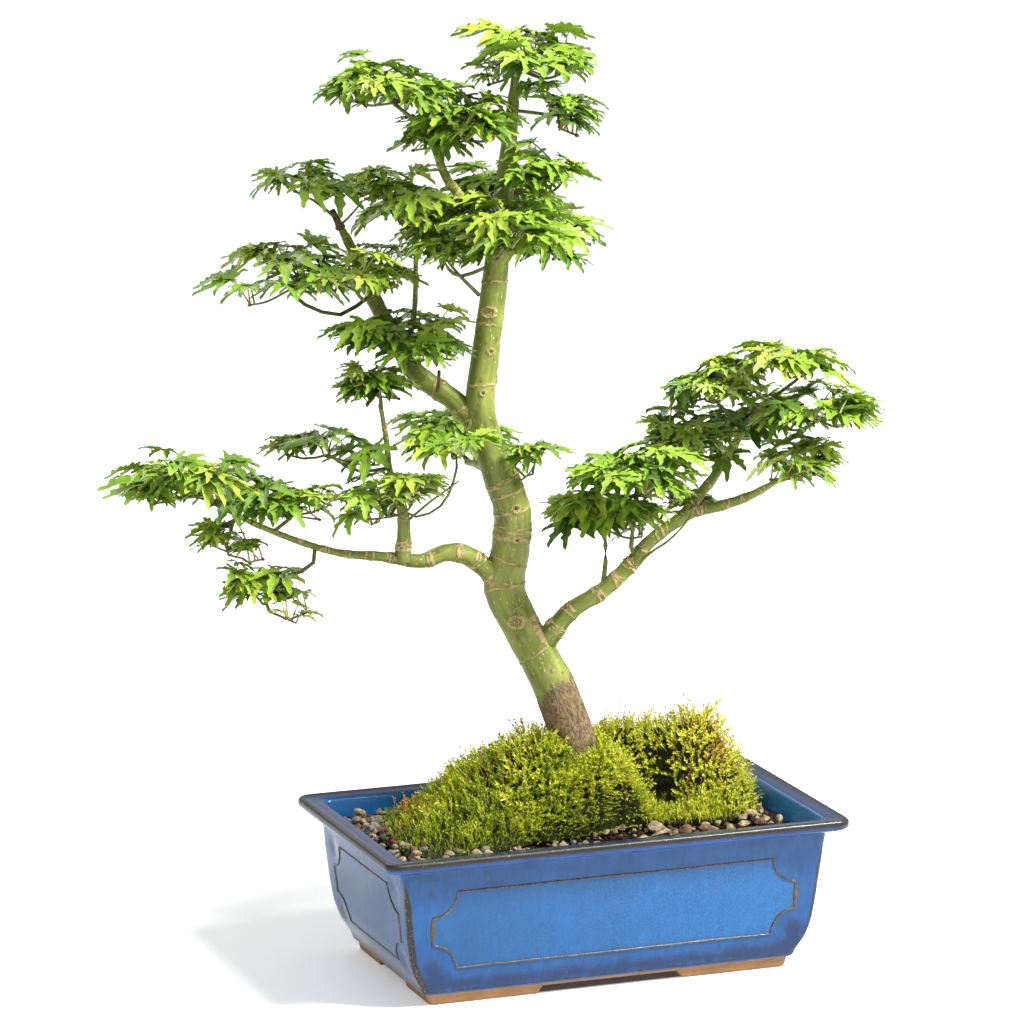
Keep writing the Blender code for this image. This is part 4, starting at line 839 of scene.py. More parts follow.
def pot_skin():
    """The pot as rings round rectangles with round corners, from the recess under it to its floor
    inside; its hand-made unevenness pushes each wall point along its outward direction. Gives
    vertices, faces and the numbers that the glaze reads."""
    levels = pot_levels()
    rings, edges, pools, clays, tops, panels = [], [], [], [], [], []
    for half_x, half_y, z, corner, thin in levels:
        points, outward, nearness = ring_path(half_x, half_y, corner, 190, 96, 8)
        gap = foot_gap(points) if z < 0.0084 else 0.0
        points = np.c_[points, np.maximum(z, gap) * np.ones(len(points))]
        outside = 0.0090 < z < 0.104 and half_x > 0.1440
        if outside:
            points[:, :2] += outward * hand_made(points)[:, None]
            lens = min(1.0, (z - 0.006) / 0.012, max(0.0, (0.101 - z) / 0.020))
            ridge = np.clip((nearness - 0.95 + 0.70 * lens) / 0.30, 0, 1) * (lens > 0)
            points[:, :2] += outward * (0.0006 * ridge)[:, None]
        else:
            ridge = 0.25 * nearness
        low = np.exp(-((z - 0.0108) / 0.0011) ** 2) if outside else 0.0
        edges.append(np.maximum(np.maximum(thin, low), ridge * (1.15 if outside else 0.4)))
        on_long = np.abs(outward[:, 1]) > 0.7
        reach = np.where(on_long, PANEL_REACH[0], PANEL_REACH[1])
        aside = np.abs(np.where(on_long, points[:, 0], points[:, 1]))
        rise = abs(z - PANEL_HEIGHT)
        notch = np.hypot(aside - reach, rise - PANEL_RISE)
        within = np.minimum(np.minimum(reach - aside, PANEL_RISE - rise), notch - PANEL_NOTCH)
        panel = np.clip(within / 0.003, 0, 1) * (1 if outside else 0)
        lower = 0.95 if points[0, 2] < PANEL_HEIGHT else 0.35
        pool = lower * np.exp(-(notch / 0.0120) ** 2) + 0.85 * np.exp(-((z - 0.0150) / 0.0075) ** 2)
        pool += 0.40 * np.exp(-((z - 0.1005) / 0.0050) ** 2)
        pool += 0.25 * np.exp(-(np.minimum(within, 0) / 0.006) ** 2) * (panel <= 0)
        # Painted light: the inner wall takes the panel value 2, so the glaze paints it in the full,
        # lighter panel blue.
        inner = 1.0 if z < 0.1136 and 0.1440 < half_x < 0.1640 and len(rings) > 60 else 0.0
        pools.append(np.clip(pool, 0, 1) if outside else np.full(len(points), 0.15 * inner))
        panels.append(np.maximum(panel, 2.0 * inner))
        clays.append(np.full(len(points), float(z < 0.0086 and half_x < 0.1440)))
        lip = np.interp(z, (0.1046, 0.1056, 0.1095, 0.1120), (0.0, 0.5, 0.5, 1.0))
        tops.append(np.full(len(points), lip if half_x > 0.1650 else 0.0))
        rings.append(points)
    shape = len(rings), len(rings[0])
    middles = [(0, 0, RECESS), (0, 0, POT_FLOOR)]
    values = {key: np.r_[np.concatenate(data), 1.0 if key == "clay" else 0.0, 0.0]
              for key, data in (("thin", edges), ("pool", pools), ("clay", clays), ("rim", tops),
                                ("panel", panels))}
    return np.concatenate([*rings, middles]), [grid_faces(*shape), end_fans(*shape)], values


def panel_outline(reach):
    """Closed outline (n, 2) of a panel seen from outside: straight sides, and at each corner a
    quarter circle about the corner itself, bitten out of the panel."""
    straight_x, straight_z = reach - PANEL_NOTCH, PANEL_RISE - PANEL_NOTCH
    runs = []
    for sx, sz, start, vertical in ((1, 1, 270, True), (-1, 1, 0, False), (-1, -1, 90, True),
                                    (1, -1, 180, False)):
        if vertical:
            side = np.linspace(-sz * straight_z, sz * straight_z, 16)[:-1]
            runs.append(np.stack([np.full(len(side), sx * reach), side], -1))
        else:
            side = np.linspace(-sx * straight_x, sx * straight_x, 120)[:-1]
            runs.append(np.stack([side, np.full(len(side), sz * PANEL_RISE)], -1))
        turn = np.radians(start - np.linspace(0, 90, 18)[:-1])
        runs.append(np.stack([sx * reach + PANEL_NOTCH * np.cos(turn),
                              sz * PANEL_RISE + PANEL_NOTCH * np.sin(turn)], -1))
    return np.concatenate(runs)


def panel_beads(width, rise, sides=8):
    """The raised lines round the four panels: a half-sunk oval bead carried round each outline on
    the wall, wider on the short upright runs. A point is the wall's point plus width * cos a
    across the line plus rise * sin a outwards."""
    levels, parts = WALL_LEVELS, []
    for reach, axis, column in ((PANEL_REACH[0], 0, 1), (PANEL_REACH[1], 1, 0)):
        line = panel_outline(reach)
        heights = PANEL_HEIGHT + line[:, 1]
        out = np.interp(heights, levels[:, 2], levels[:, column])
        slope = np.interp(heights + 0.002, levels[:, 2], levels[:, column]) - out
        for side in (-1, 1):
            along = line[:, 0] * side * (1 if axis == 0 else -1)
            points = np.zeros((len(line), 3))
            points[:, axis], points[:, 1 - axis], points[:, 2] = along, side * out, heights
            normal = np.zeros((len(line), 3))
            normal[:, 1 - axis], normal[:, 2] = side, -slope / 0.002
            normal = unit(normal)
            points += normal * hand_made(points)[:, None]
            tangent = unit(np.roll(points, -1, axis=0) - np.roll(points, 1, axis=0))
            across = np.cross(tangent, normal)
            upright = np.exp(-(line[:, 1] / 0.0065) ** 2) * (np.abs(line[:, 0]) > reach - 0.002)
            corner = np.hypot(np.abs(line[:, 0]) - reach + 0.0055, np.abs(line[:, 1]) - 0.0215)
            w = width * (1 + 1.9 * upright + 1.0 * np.exp(-(corner / 0.0085) ** 2)
                         + 0.15 * waves(points, 8, 0.012, 2))
            a = angles_round(sides)
            vertices = (points[:, None] + (w[:, None] * np.cos(a))[..., None] * across[:, None]
                        + (rise * np.sin(a))[None, :, None] * normal[:, None]).reshape(-1, 3)
            faces = grid_faces(len(line), sides)
            last = (len(line) - 1) * sides
            ring = np.arange(sides)
            seam = np.stack([ring + last, (ring + 1) % sides + last, (ring + 1) % sides, ring], -1)
            faces = np.vstack([faces, seam])
            wall = np.cross(vertices[1] - vertices[0], vertices[sides] - vertices[0])
            if wall @ (vertices[0] - points[0]) < 0:
                faces = faces[:, ::-1]
            parts.append((vertices, faces))
    return joined(parts)


# ---- pot filling

BED_HALF = (0.1585, 0.0862)          # room inside the pot at the height of the bed
MOSS_CENTRE = np.array((0.005, 0.026))
MOSS_REACH = (                       # (degrees round the centre, distance to the moss's edge)
    (0, 0.147), (14, 0.142), (30, 0.104), (60, 0.063), (90, 0.055), (120, 0.064), (150, 0.104),
    (166, 0.132), (180, 0.142), (196, 0.150), (205, 0.160), (212, 0.168), (220, 0.130),
    (232, 0.086), (245, 0.071), (260, 0.062), (275, 0.057), (290, 0.054), (305, 0.058),
    (317, 0.078), (327, 0.111), (336, 0.137), (348, 0.146), (360, 0.147))
MOSS_EDGE, MOSS_ROUND, MOSS_FALL = 0.008, 1.25, 4.5   # height, and powers of two falls
SKIRT = 0.003             # how far the cushion reaches below the top of the gravel
SOIL_BASE = 0.0195        # height of the soil's underside
MOSS_MOUNDS = (                      # (x, y, height, spread along X, spread along Y)
    (-0.030, 0.036, 0.029, 0.044, 0.036), (-0.008, -0.004, 0.043, 0.042, 0.036),
    (0.050, 0.048, 0.051, 0.030, 0.024), (0.102, 0.036, 0.051, 0.034, 0.030),
    (-0.070, 0.010, 0.024, 0.050, 0.050), (0.130, 0.022, 0.036, 0.026, 0.034),
    (0.027, -0.020, 0.040, 0.020, 0.020))
MOSS_HOLLOW = (0.073, 0.008, 0.024, 0.015, 0.020)


def moss_reach(angle):
    """Distance from the moss's centre to its edge, a little frayed."""
    degrees, reach = np.array(MOSS_REACH).T
    frayed = 1 + 0.020 * np.sin(13 * angle + 1.0) + 0.015 * np.sin(29 * angle)
    return np.interp(np.degrees(angle) % 360, degrees, reach) * frayed


def moss_part(x, y):
    """How far a place is from the moss's centre, as a share of the way to its edge."""
    angle = np.arctan2(y - MOSS_CENTRE[1], x - MOSS_CENTRE[0]) % (2 * math.pi)
    return np.hypot(x - MOSS_CENTRE[0], y - MOSS_CENTRE[1]) / moss_reach(angle)


def bell(x, y, hump, power):
    """A hump's height at a place: it falls as exp(-d ** power), d being the squared distance from
    its middle in units of its spread."""
    hx, hy, height, sx, sy = hump
    return height * np.exp(-(((x - hx) / sx) ** 2 + ((y - hy) / sy) ** 2) ** power)


def moss_hollow(x, y):
    """1 in the dark hollow between the cushions, falling to 0 round it."""
    return bell(x, y, MOSS_HOLLOW, 1.0) / MOSS_HOLLOW[2]


def moss_lift(x, y):
    """Height of the cushion above the bed: flat-topped humps over a low edge, less the hollow,
    with swells the size of a thumb, falling away at the edge; the shoots stand on it."""
    lift = MOSS_EDGE + sum(bell(x, y, hump, MOSS_ROUND) for hump in MOSS_MOUNDS)
    lift = lift - bell(x, y, MOSS_HOLLOW, 1.0) - 0.0065
    places = np.stack([x, y, np.zeros_like(x)], -1).reshape(-1, 3)
    swells = waves(places, 77, 0.026, 2).reshape(x.shape)
    fall = np.sqrt(np.maximum(0.0, 1 - moss_part(x, y) ** MOSS_FALL))
    return (lift + 0.0024 * swells) * fall


def moss_ground():
    """The cushion under the shoots: rings about the moss's centre, with a skirt below its edge."""
    around, rings = 200, 46
    angle = angles_round(around)
    part = np.linspace(1 / rings, 1, rings)[:, None]
    x = MOSS_CENTRE[0] + part * moss_reach(angle) * np.cos(angle)
    y = MOSS_CENTRE[1] + part * moss_reach(angle) * np.sin(angle)
    z = GRAVEL_TOP + np.maximum(0.0012, moss_lift(x, y))
    rows = np.stack([x, y, z], -1)
    skirt = rows[-1] * (1, 1, 0) + (0, 0, GRAVEL_TOP - SKIRT)
    centre = np.array([[*MOSS_CENTRE, GRAVEL_TOP + float(moss_lift(*MOSS_CENTRE.reshape(2, 1))[0])],
                       [*MOSS_CENTRE, GRAVEL_TOP - SKIRT]])
    vertices = np.concatenate([rows.reshape(-1, 3), skirt, centre])
    return vertices, [grid_faces(rings + 1, around)[:, ::-1], end_fans(rings + 1, around)[:, [1, 0, 2]]]


def trunk_at(height):
    """The trunk's middle and radius (x, y, r) at a height."""
    rows = limb_rows("trunk", 0.002)
    return np.array([np.interp(height, rows[:, 2], rows[:, k]) for k in (0, 1, 3)])


def shoot_template(rng):
    """One moss shoot of unit length: a leaning three-sided stem that thins to a point, and narrow
    leaves in a spiral up it, each a folded diamond that points up and out."""
    lean, turn = rng.uniform(0.05, 0.30), rng.uniform(0, 2 * math.pi)
    heading = np.array((math.cos(turn), math.sin(turn), 0.0))
    t = np.array((0.0, 0.35, 0.7, 1.0))
    spine = heading * (lean * t ** 2)[:, None] + np.stack([0 * t, 0 * t, t], -1)
    vertices, walls, _ = thin_tubes(spine[None], np.array([[0.030, 0.026, 0.020, 0.004]]), 3)
    blocks, first = [(vertices, walls)], len(vertices)
    count = 11
    up = rng.uniform(0.16, 0.97, count)
    up.sort()
    angle = turn + np.arange(count) * 2.4 + rng.uniform(-0.4, 0.4, count)
    length = np.interp(up, (0.1, 0.6, 1.0), (0.17, 0.21, 0.13)) * rng.uniform(0.8, 1.2, count)
    root = heading * (lean * up ** 2)[:, None] + np.stack([0 * up, 0 * up, up], -1)
    out = np.stack([np.cos(angle), np.sin(angle), np.full(count, 1.15)], -1)
    out = unit(out)
    side = np.stack([-np.sin(angle), np.cos(angle), np.zeros(count)], -1)
    tip = root + out * length[:, None]
    middle = root + out * (length * 0.45)[:, None]
    w = (0.036 * rng.uniform(0.8, 1.2, count))[:, None]
    leaves = np.stack([root, middle + side * w, tip, middle - side * w], 1).reshape(-1, 3)
    blocks.append((leaves, np.arange(count * 4).reshape(-1, 4)))
    return joined(blocks)


def planted(templates, which, roots, axes, sizes):
    """Copies of templates, one for each row of roots: a corner is root + size * (x * a + y * b +
    z * c) with the copy's own axes a, b and c. Gives vertices, faces and each face's copy."""
    vertices, faces, owners, first = [], [], [], 0
    for number, (shape, triangles) in enumerate(templates):
        rows = np.nonzero(which == number)[0]
        if not len(rows):
            continue
        placed = roots[rows][:, None] + sizes[rows][:, None, None] * (shape @ axes[rows])
        shift = (np.arange(len(rows)) * len(shape))[:, None, None] + first
        vertices.append(placed.reshape(-1, 3))
        faces.append((triangles[None] + shift).reshape(-1, triangles.shape[1]))
        owners.append(np.repeat(rows, len(triangles)))
        first += len(rows) * len(shape)
    return np.concatenate(vertices), np.concatenate(faces), np.concatenate(owners)


def leaning_axes(normals, turns):
    """Axes (n, 3, 3) whose third row is each normal and whose first two are turned about it."""
    c = unit(normals)
    a = unit(np.cross(c, (0.0, 0.92, 0.39)))
    b = np.cross(c, a)
    cos, sin = np.cos(turns)[:, None], np.sin(turns)[:, None]
    return np.stack([a * cos + b * sin, b * cos - a * sin, c], axis=1)


def moss_shoots(count, length, rng):
    """Places, axes, lengths and tones of the moss shoots: evenly over the mound by a sunflower
    pattern, upright but leaning out of the slope, thin in the hollow and round the trunk."""
    number = np.arange(count) + 0.5
    part = np.sqrt(number / count)
    angle = (number * GOLDEN_ANGLE) % (2 * math.pi)
    x = MOSS_CENTRE[0] + part * moss_reach(angle) * np.cos(angle) + rng.normal(0, 0.0012, count)
    y = MOSS_CENTRE[1] + part * moss_reach(angle) * np.sin(angle) + rng.normal(0, 0.0012, count)
    lift = moss_lift(x, y)
    step = 0.003
    slope_x = (moss_lift(x + step, y) - moss_lift(x - step, y)) / (2 * step)
    slope_y = (moss_lift(x, y + step) - moss_lift(x, y - step)) / (2 * step)
    z = GRAVEL_TOP + np.maximum(0.0, lift) - 0.0015
    hollow = np.minimum(1.0, moss_hollow(x, y) * 1.3)
    trunk_x, trunk_y, trunk_r = (np.array([trunk_at(h)[k] for h in z]) for k in range(3))
    clear = np.hypot(x - trunk_x, y - trunk_y) > trunk_r * 1.10 + 0.001
    keep = clear & (rng.random(count) > hollow * 0.93) & (part < 1.02)
    keep &= (np.abs(x) < BED_HALF[0] - 0.002) & (np.abs(y) < BED_HALF[1] - 0.002)
    normals = np.stack([-slope_x, -slope_y, np.full(count, 1.35)], -1) + rng.normal(0, 0.40, (count, 3))
    places = np.stack([x, y, z], -1)
    patches = waves(places, 41, 0.034, 2)
    size = length * (0.62 + 0.50 * rng.random(count) + 0.16 * patches) * (1 - 0.30 * hollow)
    tall = (rng.random(count) < 0.05) & (part < 0.9)
    low = np.interp(y, (-0.045, 0.0), (0.30, 0.62))
    size *= np.where(tall, 1.55, 1.0) * (1 - (1 - low) * np.interp(part, (0.72, 1.0), (0.0, 1.0)))
    size *= np.interp(x, (0.03, 0.09), (1.0, 1.18))
    # Painted light and shade: the tone falls in the hollow, rises towards the right and rises on the
    # mounds' tops; the patches and noise are real variation.
    tone = 0.50 * patches + rng.normal(0, 0.50, count) - 1.5 * hollow
    tone += np.interp(x, (-0.12, 0.02, 0.06, 0.13), (-0.15, 0.05, 0.95, 1.10))
    tone += np.interp(lift, (0.0, 0.012, 0.035), (-0.50, -0.10, 0.25))
    return places[keep], unit(normals)[keep], size[keep], tone[keep], part[keep]


def seta_lines(rng):
    """Centre lines (n, 5, 3) of the hair-thin stalks that stand out of the moss, in patches."""
    patches = ((0.112, 0.012, 0.024, 0.020, 90, 0.019), (-0.118, 0.020, 0.020, 0.030, 80, 0.012),
               (0.020, -0.024, 0.022, 0.008, 60, 0.013), (0.055, 0.044, 0.03, 0.016, 40, 0.016),
               (-0.030, 0.010, 0.045, 0.030, 70, 0.012), (0.112, 0.046, 0.024, 0.012, 30, 0.015))
    lines = []
    for mx, my, sx, sy, count, length in patches:
        x, y = rng.normal(mx, sx * 0.6, count), rng.normal(my, sy * 0.6, count)
        foot_x, foot_y, foot_r = trunk_at(GRAVEL_TOP + 0.03)
        inside = (moss_part(x, y) < 0.97) & (moss_hollow(x, y) < 0.5)
        inside &= np.hypot(x - foot_x, y - foot_y) > foot_r * 1.6
        x, y = x[inside], y[inside]
        z = GRAVEL_TOP + moss_lift(x, y) + 0.002
        tall = length * rng.uniform(0.55, 1.15, len(x))
        lean, turn = rng.uniform(0.02, 0.30, len(x)), rng.uniform(0, 2 * math.pi, len(x))
        t = np.linspace(0, 1, 5)[None, :]
        away = (lean * tall)[:, None] * t ** 2
        lines.append(np.stack([x[:, None] + np.cos(turn)[:, None] * away,
                               y[:, None] + np.sin(turn)[:, None] * away,
                               z[:, None] + tall[:, None] * t], -1))
    return np.concatenate(lines)


# (x, y, half length) of the stones that stand out, in tenths of a millimetre
BIG_STONES = np.array((
    (520, -400, 85), (480, -560, 70), (660, -620, 95), (840, -560, 80), (930, -500, 55), (280, -700, 62),
    (-60, -760, 70), (80, -790, 52), (-230, -800, 60), (1320, -280, 66), (1440, -180, 58),
    (1180, -500, 50), (1490, -420, 48), (420, -740, 52), (-420, -790, 50), (-340, -700, 55),
    (-140, -680, 58), (20, -700, 50), (170, -720, 60), (330, -620, 52), (560, -740, 58), (720, -720, 50),
    (-560, -780, 48), (1230, -340, 60), (1380, -400, 56), (1330, -100, 52), (1000, -640, 48))) / 10000


LEFT_END, RIGHT_END = -0.085, 0.100   # where the bare ends of the bed begin
STONE_KINDS = (           # (name, its darker tone, scale of its patches)
    ("buff", "5a4a34", 230.0), ("grey", "5d5b50", 150.0), ("brown", "3d2a1c", 170.0),
    ("slate", "1c1a18", 210.0), ("rust", "33190f", 190.0))
UNDER_MOSS = 0.78         # stones nearer the moss's centre than this share would be hidden
STONES_BELOW = 0.1120     # no stone rises above this height, near the rim's
FIELD_STEP, FIELD_HALF, FIELD_CELLS = 0.001, (0.18, 0.11), (360, 220)   # height field of the bed


def stone_template(rng, angular):
    """A stone of unit half length: a twice divided icosahedron whose corners are pushed in or out
    by waves, and cut by random planes where it is angular."""
    golden = (1 + 5 ** 0.5) / 2
    corners = np.array([(-1, golden, 0), (1, golden, 0), (-1, -golden, 0), (1, -golden, 0),
                        (0, -1, golden), (0, 1, golden), (0, -1, -golden), (0, 1, -golden),
                        (golden, 0, -1), (golden, 0, 1), (-golden, 0, -1), (-golden, 0, 1)])
    faces = np.array([(0, 11, 5), (0, 5, 1), (0, 1, 7), (0, 7, 10), (0, 10, 11), (1, 5, 9),
                      (5, 11, 4), (11, 10, 2), (10, 7, 6), (7, 1, 8), (3, 9, 4), (3, 4, 2),
                      (3, 2, 6), (3, 6, 8), (3, 8, 9), (4, 9, 5), (2, 4, 11), (6, 2, 10),
                      (8, 6, 7), (9, 8, 1)])
    sides = np.sort(np.concatenate([faces[:, [0, 1]], faces[:, [1, 2]], faces[:, [2, 0]]]), axis=1)
    pairs, index = np.unique(sides, axis=0, return_inverse=True)
    middles = 12 + index.reshape(3, -1)
    shape = unit(np.concatenate([corners, (corners[pairs[:, 0]] + corners[pairs[:, 1]]) / 2]))
    a, b, c = faces.T
    ab, bc, ca = middles
    faces = np.concatenate([np.stack(row, -1) for row in ((a, ab, ca), (b, bc, ab), (c, ca, bc),
                                                          (ab, bc, ca))])
    seed = int(rng.integers(1 << 30))
    shape = shape * (1 + (0.22 if angular else 0.09) * waves(shape, seed, 1.5, 2))[:, None]
    for cut in range(7 if angular else 1):
        normal = unit(rng.normal(size=3))
        depth = rng.uniform(0.40, 0.68) if angular else rng.uniform(0.75, 0.9)
        over = np.maximum(0.0, shape @ normal - depth)
        shape = shape - over[:, None] * normal * 0.92
    return shape * (1.0, rng.uniform(0.66, 0.95), rng.uniform(0.48, 0.78)), faces


def drop_stones(sizes, places, field, low):
    """Rests one stone after another on the bed: each settles at the mean height under its middle
    and raises the height field there. Gives the heights of their centres."""
    heights = np.empty(len(sizes))
    for number, (size, (x, y)) in enumerate(zip(sizes, places)):
        i, j = int((x + FIELD_HALF[0]) / FIELD_STEP), int((y + FIELD_HALF[1]) / FIELD_STEP)
        reach = max(1, int(size * 0.62 / FIELD_STEP))
        patch = field[i - reach:i + reach + 1, j - reach:j + reach + 1]
        rest = float(patch.mean()) * 0.6 + float(patch.max()) * 0.4
        heights[number] = rest + low * size
        patch[:] = np.maximum(patch, rest + size * 0.80)
    return heights


def soil_skin():
    """The soil: a crumbly top on a grid whose corners are drawn in, with a skirt down the inside
    of the pot and a flat underside."""
    columns, rows = 150, 84
    u, v = np.meshgrid(np.linspace(-1, 1, columns), np.linspace(-1, 1, rows))
    x = BED_HALF[0] * u * (1 - 0.022 * v ** 8)
    y = BED_HALF[1] * v * (1 - 0.042 * u ** 8)
    flat = np.stack([x, y, 0 * x], -1).reshape(-1, 3)
    z = SOIL_TOP - 0.0012 + 0.0012 * waves(flat, 5, 0.012, 3) + 0.0005 * waves(flat, 6, 0.0035, 2)
    top = np.c_[flat[:, :2], z]
    index = np.arange(rows * columns).reshape(rows, columns)
    rim = np.concatenate([index[0, :-1], index[:-1, -1], index[-1, :0:-1], index[:0:-1, 0]])
    low = np.c_[top[rim, :2] * (0.90, 0.86), np.full(len(rim), SOIL_BASE)]
    first, count = len(top), len(rim)
    k = np.arange(count)
    walls = np.stack([rim, first + k, first + (k + 1) % count, np.roll(rim, -1)], -1)
    middle = np.full(count, first + count)
    floor = np.stack([first + k, middle, first + (k + 1) % count], -1)
    vertices = np.vstack([top, low, [[0, 0, SOIL_BASE]]])
    return vertices, [np.concatenate([grid_faces(rows, columns, closed=False), walls]), floor]


# ---- shader helpers


class Tree:
    """Short hands for wiring one node tree. A value given for an input is a socket to join or
    a plain number, vector or colour."""

    def __init__(self, tree):
        self.tree = tree

    def add(self, kind, inputs=None, **settings):
        node = self.tree.nodes.new("ShaderNode" + kind)
        for key, value in settings.items():
            setattr(node, key, value)
        for key, value in (inputs or {}).items():
            if isinstance(value, bpy.types.NodeSocket):
                self.tree.links.new(value, node.inputs[key])
            else:
                node.inputs[key].default_value = value
        return node

    def value(self, operation, a, b=0.0, clamp=False):
        return self.add("Math", {0: a, 1: b}, operation=operation, use_clamp=clamp).outputs[0]

    def mix(self, factor, a, b, blend="MIX"):
        node = self.add("Mix", {0: factor, 6: a, 7: b}, data_type="RGBA", blend_type=blend)
        return node.outputs[2]

    def spread(self, value, low, high, to_low=0.0, to_high=1.0):
        node = self.add("MapRange", {0: value, 1: low, 2: high, 3: to_low, 4: to_high},
                        interpolation_type="SMOOTHSTEP")
        return node.outputs[0]

    def noise(self, vector, scale, detail=3.0, rough=0.55, distortion=0.0):
        return self.add("TexNoise", {"Vector": vector, "Scale": scale, "Detail": detail,
                                     "Roughness": rough, "Distortion": distortion}).outputs[0]

    def cells(self, vector, scale, feature="F1"):
        return self.add("TexVoronoi", {"Vector": vector, "Scale": scale}, feature=feature)

    def stretched(self, vector, scale):
        return self.add("Mapping", {"Vector": vector, "Scale": scale}).outputs[0]

    def place(self):
        return self.add("TexCoord").outputs["Object"]

    def number(self, name):
        return self.add("Attribute", attribute_name=name).outputs["Fac"]

    def vector(self, name):
        return self.add("Attribute", attribute_name=name).outputs["Vector"]

    def bump(self, height, distance, strength=1.0):
        return self.add("Bump", {"Height": height, "Distance": distance, "Strength": strength}).outputs[0]

    def group(self, tree, inputs):
        return self.add("Group", inputs, node_tree=tree).outputs

    def times(self, a, b):
        return self.value("MULTIPLY", a, b)

    def plus(self, a, b, clamp=False):
        return self.value("ADD", a, b, clamp)

    def less(self, a, b):
        return self.value("SUBTRACT", a, b)

    def uneven(self, value, noise, amount, clamp=False):
        """A value with a noise laid over it: value + amount * (noise - 0.5)."""
        return self.plus(value, self.times(self.less(noise, 0.5), amount), clamp)

    def chosen(self, cells, channel, least):
        """1 in the cells whose random colour has more than `least` in a channel, else 0."""
        parts = self.add("SeparateColor", {0: cells.outputs["Color"]}).outputs
        return self.value("GREATER_THAN", parts[channel], least)

    def mottle(self, vector, scale, contrast):
        return self.group(soft_mottle(), {"Vector": vector, "Scale": scale, "Contrast": contrast})["Mask"]


GROUPS = {}


def shared_effect(name, inputs, *outputs):
    """Builds a node group the first time it is asked for. `inputs` gives the default of each: a
    number, a colour, or None for a vector. The output "Color" is a colour, the others are
    numbers. The decorated function wires the group and returns its outputs in order."""
    def kind(value):
        return "Vector" if value is None else "Color" if isinstance(value, tuple) else "Float"

    def wrap(wire):
        def get():
            if name not in GROUPS:
                tree = bpy.data.node_groups.new(name, "ShaderNodeTree")
                for label, default in inputs.items():
                    socket = tree.interface.new_socket(label, in_out="INPUT",
                                                       socket_type="NodeSocket" + kind(default))
                    if default is not None:
                        socket.default_value = default
                for label in outputs:
                    made = "Color" if label == "Color" else "Float"
                    tree.interface.new_socket(label, in_out="OUTPUT", socket_type="NodeSocket" + made)
                given = tree.nodes.new("NodeGroupInput").outputs
                sink = tree.nodes.new("NodeGroupOutput").inputs
                for label, socket in zip(outputs, wire(Tree(tree), given)):
                    tree.links.new(socket, sink[label])
                GROUPS[name] = tree
            return GROUPS[name]
        get.__doc__ = wire.__doc__
        return get
    return wrap


def colour(text):
    """A display colour written as six hex digits, as the linear values that a shader takes."""
    parts = [int(text[k:k + 2], 16) / 255 for k in (0, 2, 4)]
    return (*(p / 12.92 if p <= 0.04045 else ((p + 0.055) / 1.055) ** 2.4 for p in parts), 1.0)


def shade(base, factor):
    """A colour made darker or lighter."""
    return (*(min(1.0, c * factor) for c in base[:3]), 1.0)


def new_material(name, base, roughness=0.6, specular=0.5, **fixed):
    """A material with one Principled shader; constants go on the shader's own sockets."""
    made = bpy.data.materials.new(name)
    made.use_nodes = True
    made.diffuse_color = base
    shader = made.node_tree.nodes["Principled BSDF"]
    shader.inputs["Base Color"].default_value = base
    shader.inputs["Roughness"].default_value = roughness
    shader.inputs["Specular IOR Level"].default_value = specular
    for key, value in fixed.items():
        shader.inputs[key.replace("_", " ")].default_value = value
    return made, Tree(made.node_tree), shader


def join_up(tree, shader, **sockets):
    """Joins sockets to the shader's inputs of the same names."""
    for key, socket in sockets.items():
        tree.tree.links.new(socket, shader.inputs[key.replace("_", " ")])


@shared_effect("Soft Mottle", {"Vector": None, "Scale": 20.0, "Contrast": 1.0}, "Mask")
def soft_mottle(tree, given):
    """Clouds at two scales, from 0 to 1, steeper with more contrast."""
    wide = tree.noise(given["Vector"], given["Scale"], 2.0)
    fine = tree.noise(given["Vector"], tree.times(given["Scale"], 4.3), 3.0)
    total = tree.plus(tree.times(wide, 0.65), tree.times(fine, 0.35))
    steep = tree.times(tree.less(total, 0.5), given["Contrast"])
    return [tree.plus(steep, 0.5, clamp=True)]


@shared_effect("Fine Grit", {"Vector": None, "Scale": 600.0}, "Height", "Mask")
def fine_grit(tree, given):
    """Grit of two grain sizes, for the height of a rough surface and for its specks."""
    grain = tree.noise(given["Vector"], given["Scale"], 4.0, 0.7)
    pits = tree.cells(given["Vector"], tree.times(given["Scale"], 0.45)).outputs[0]
    return [tree.plus(grain, tree.times(pits, 0.5)), tree.spread(grain, 0.56, 0.70)]


@shared_effect("Thin Glaze", {"Vector": None, "Thin": 0.0, "Glaze": (0.1, 0.2, 0.5, 1.0),
               "Bare": (0.1, 0.08, 0.05, 1.0)}, "Color")
def thin_glaze(tree, given):
    """Glaze that breaks to its brown body where it runs thin over an edge, with a ragged limit
    and a few lighter chips on the very edge."""
    ragged = tree.noise(given["Vector"], 260.0, 3.0, 0.65)
    limit = tree.uneven(given["Thin"], ragged, 0.75)
    broken = tree.spread(limit, 0.42, 0.78)
    chips = tree.noise(given["Vector"], 900.0, 2.0)
    chipped = tree.times(tree.spread(chips, 0.62, 0.68), tree.spread(limit, 0.85, 1.1))
    body = tree.mix(chipped, given["Bare"], colour("c2a878"))
    return [tree.mix(broken, given["Glaze"], body)]


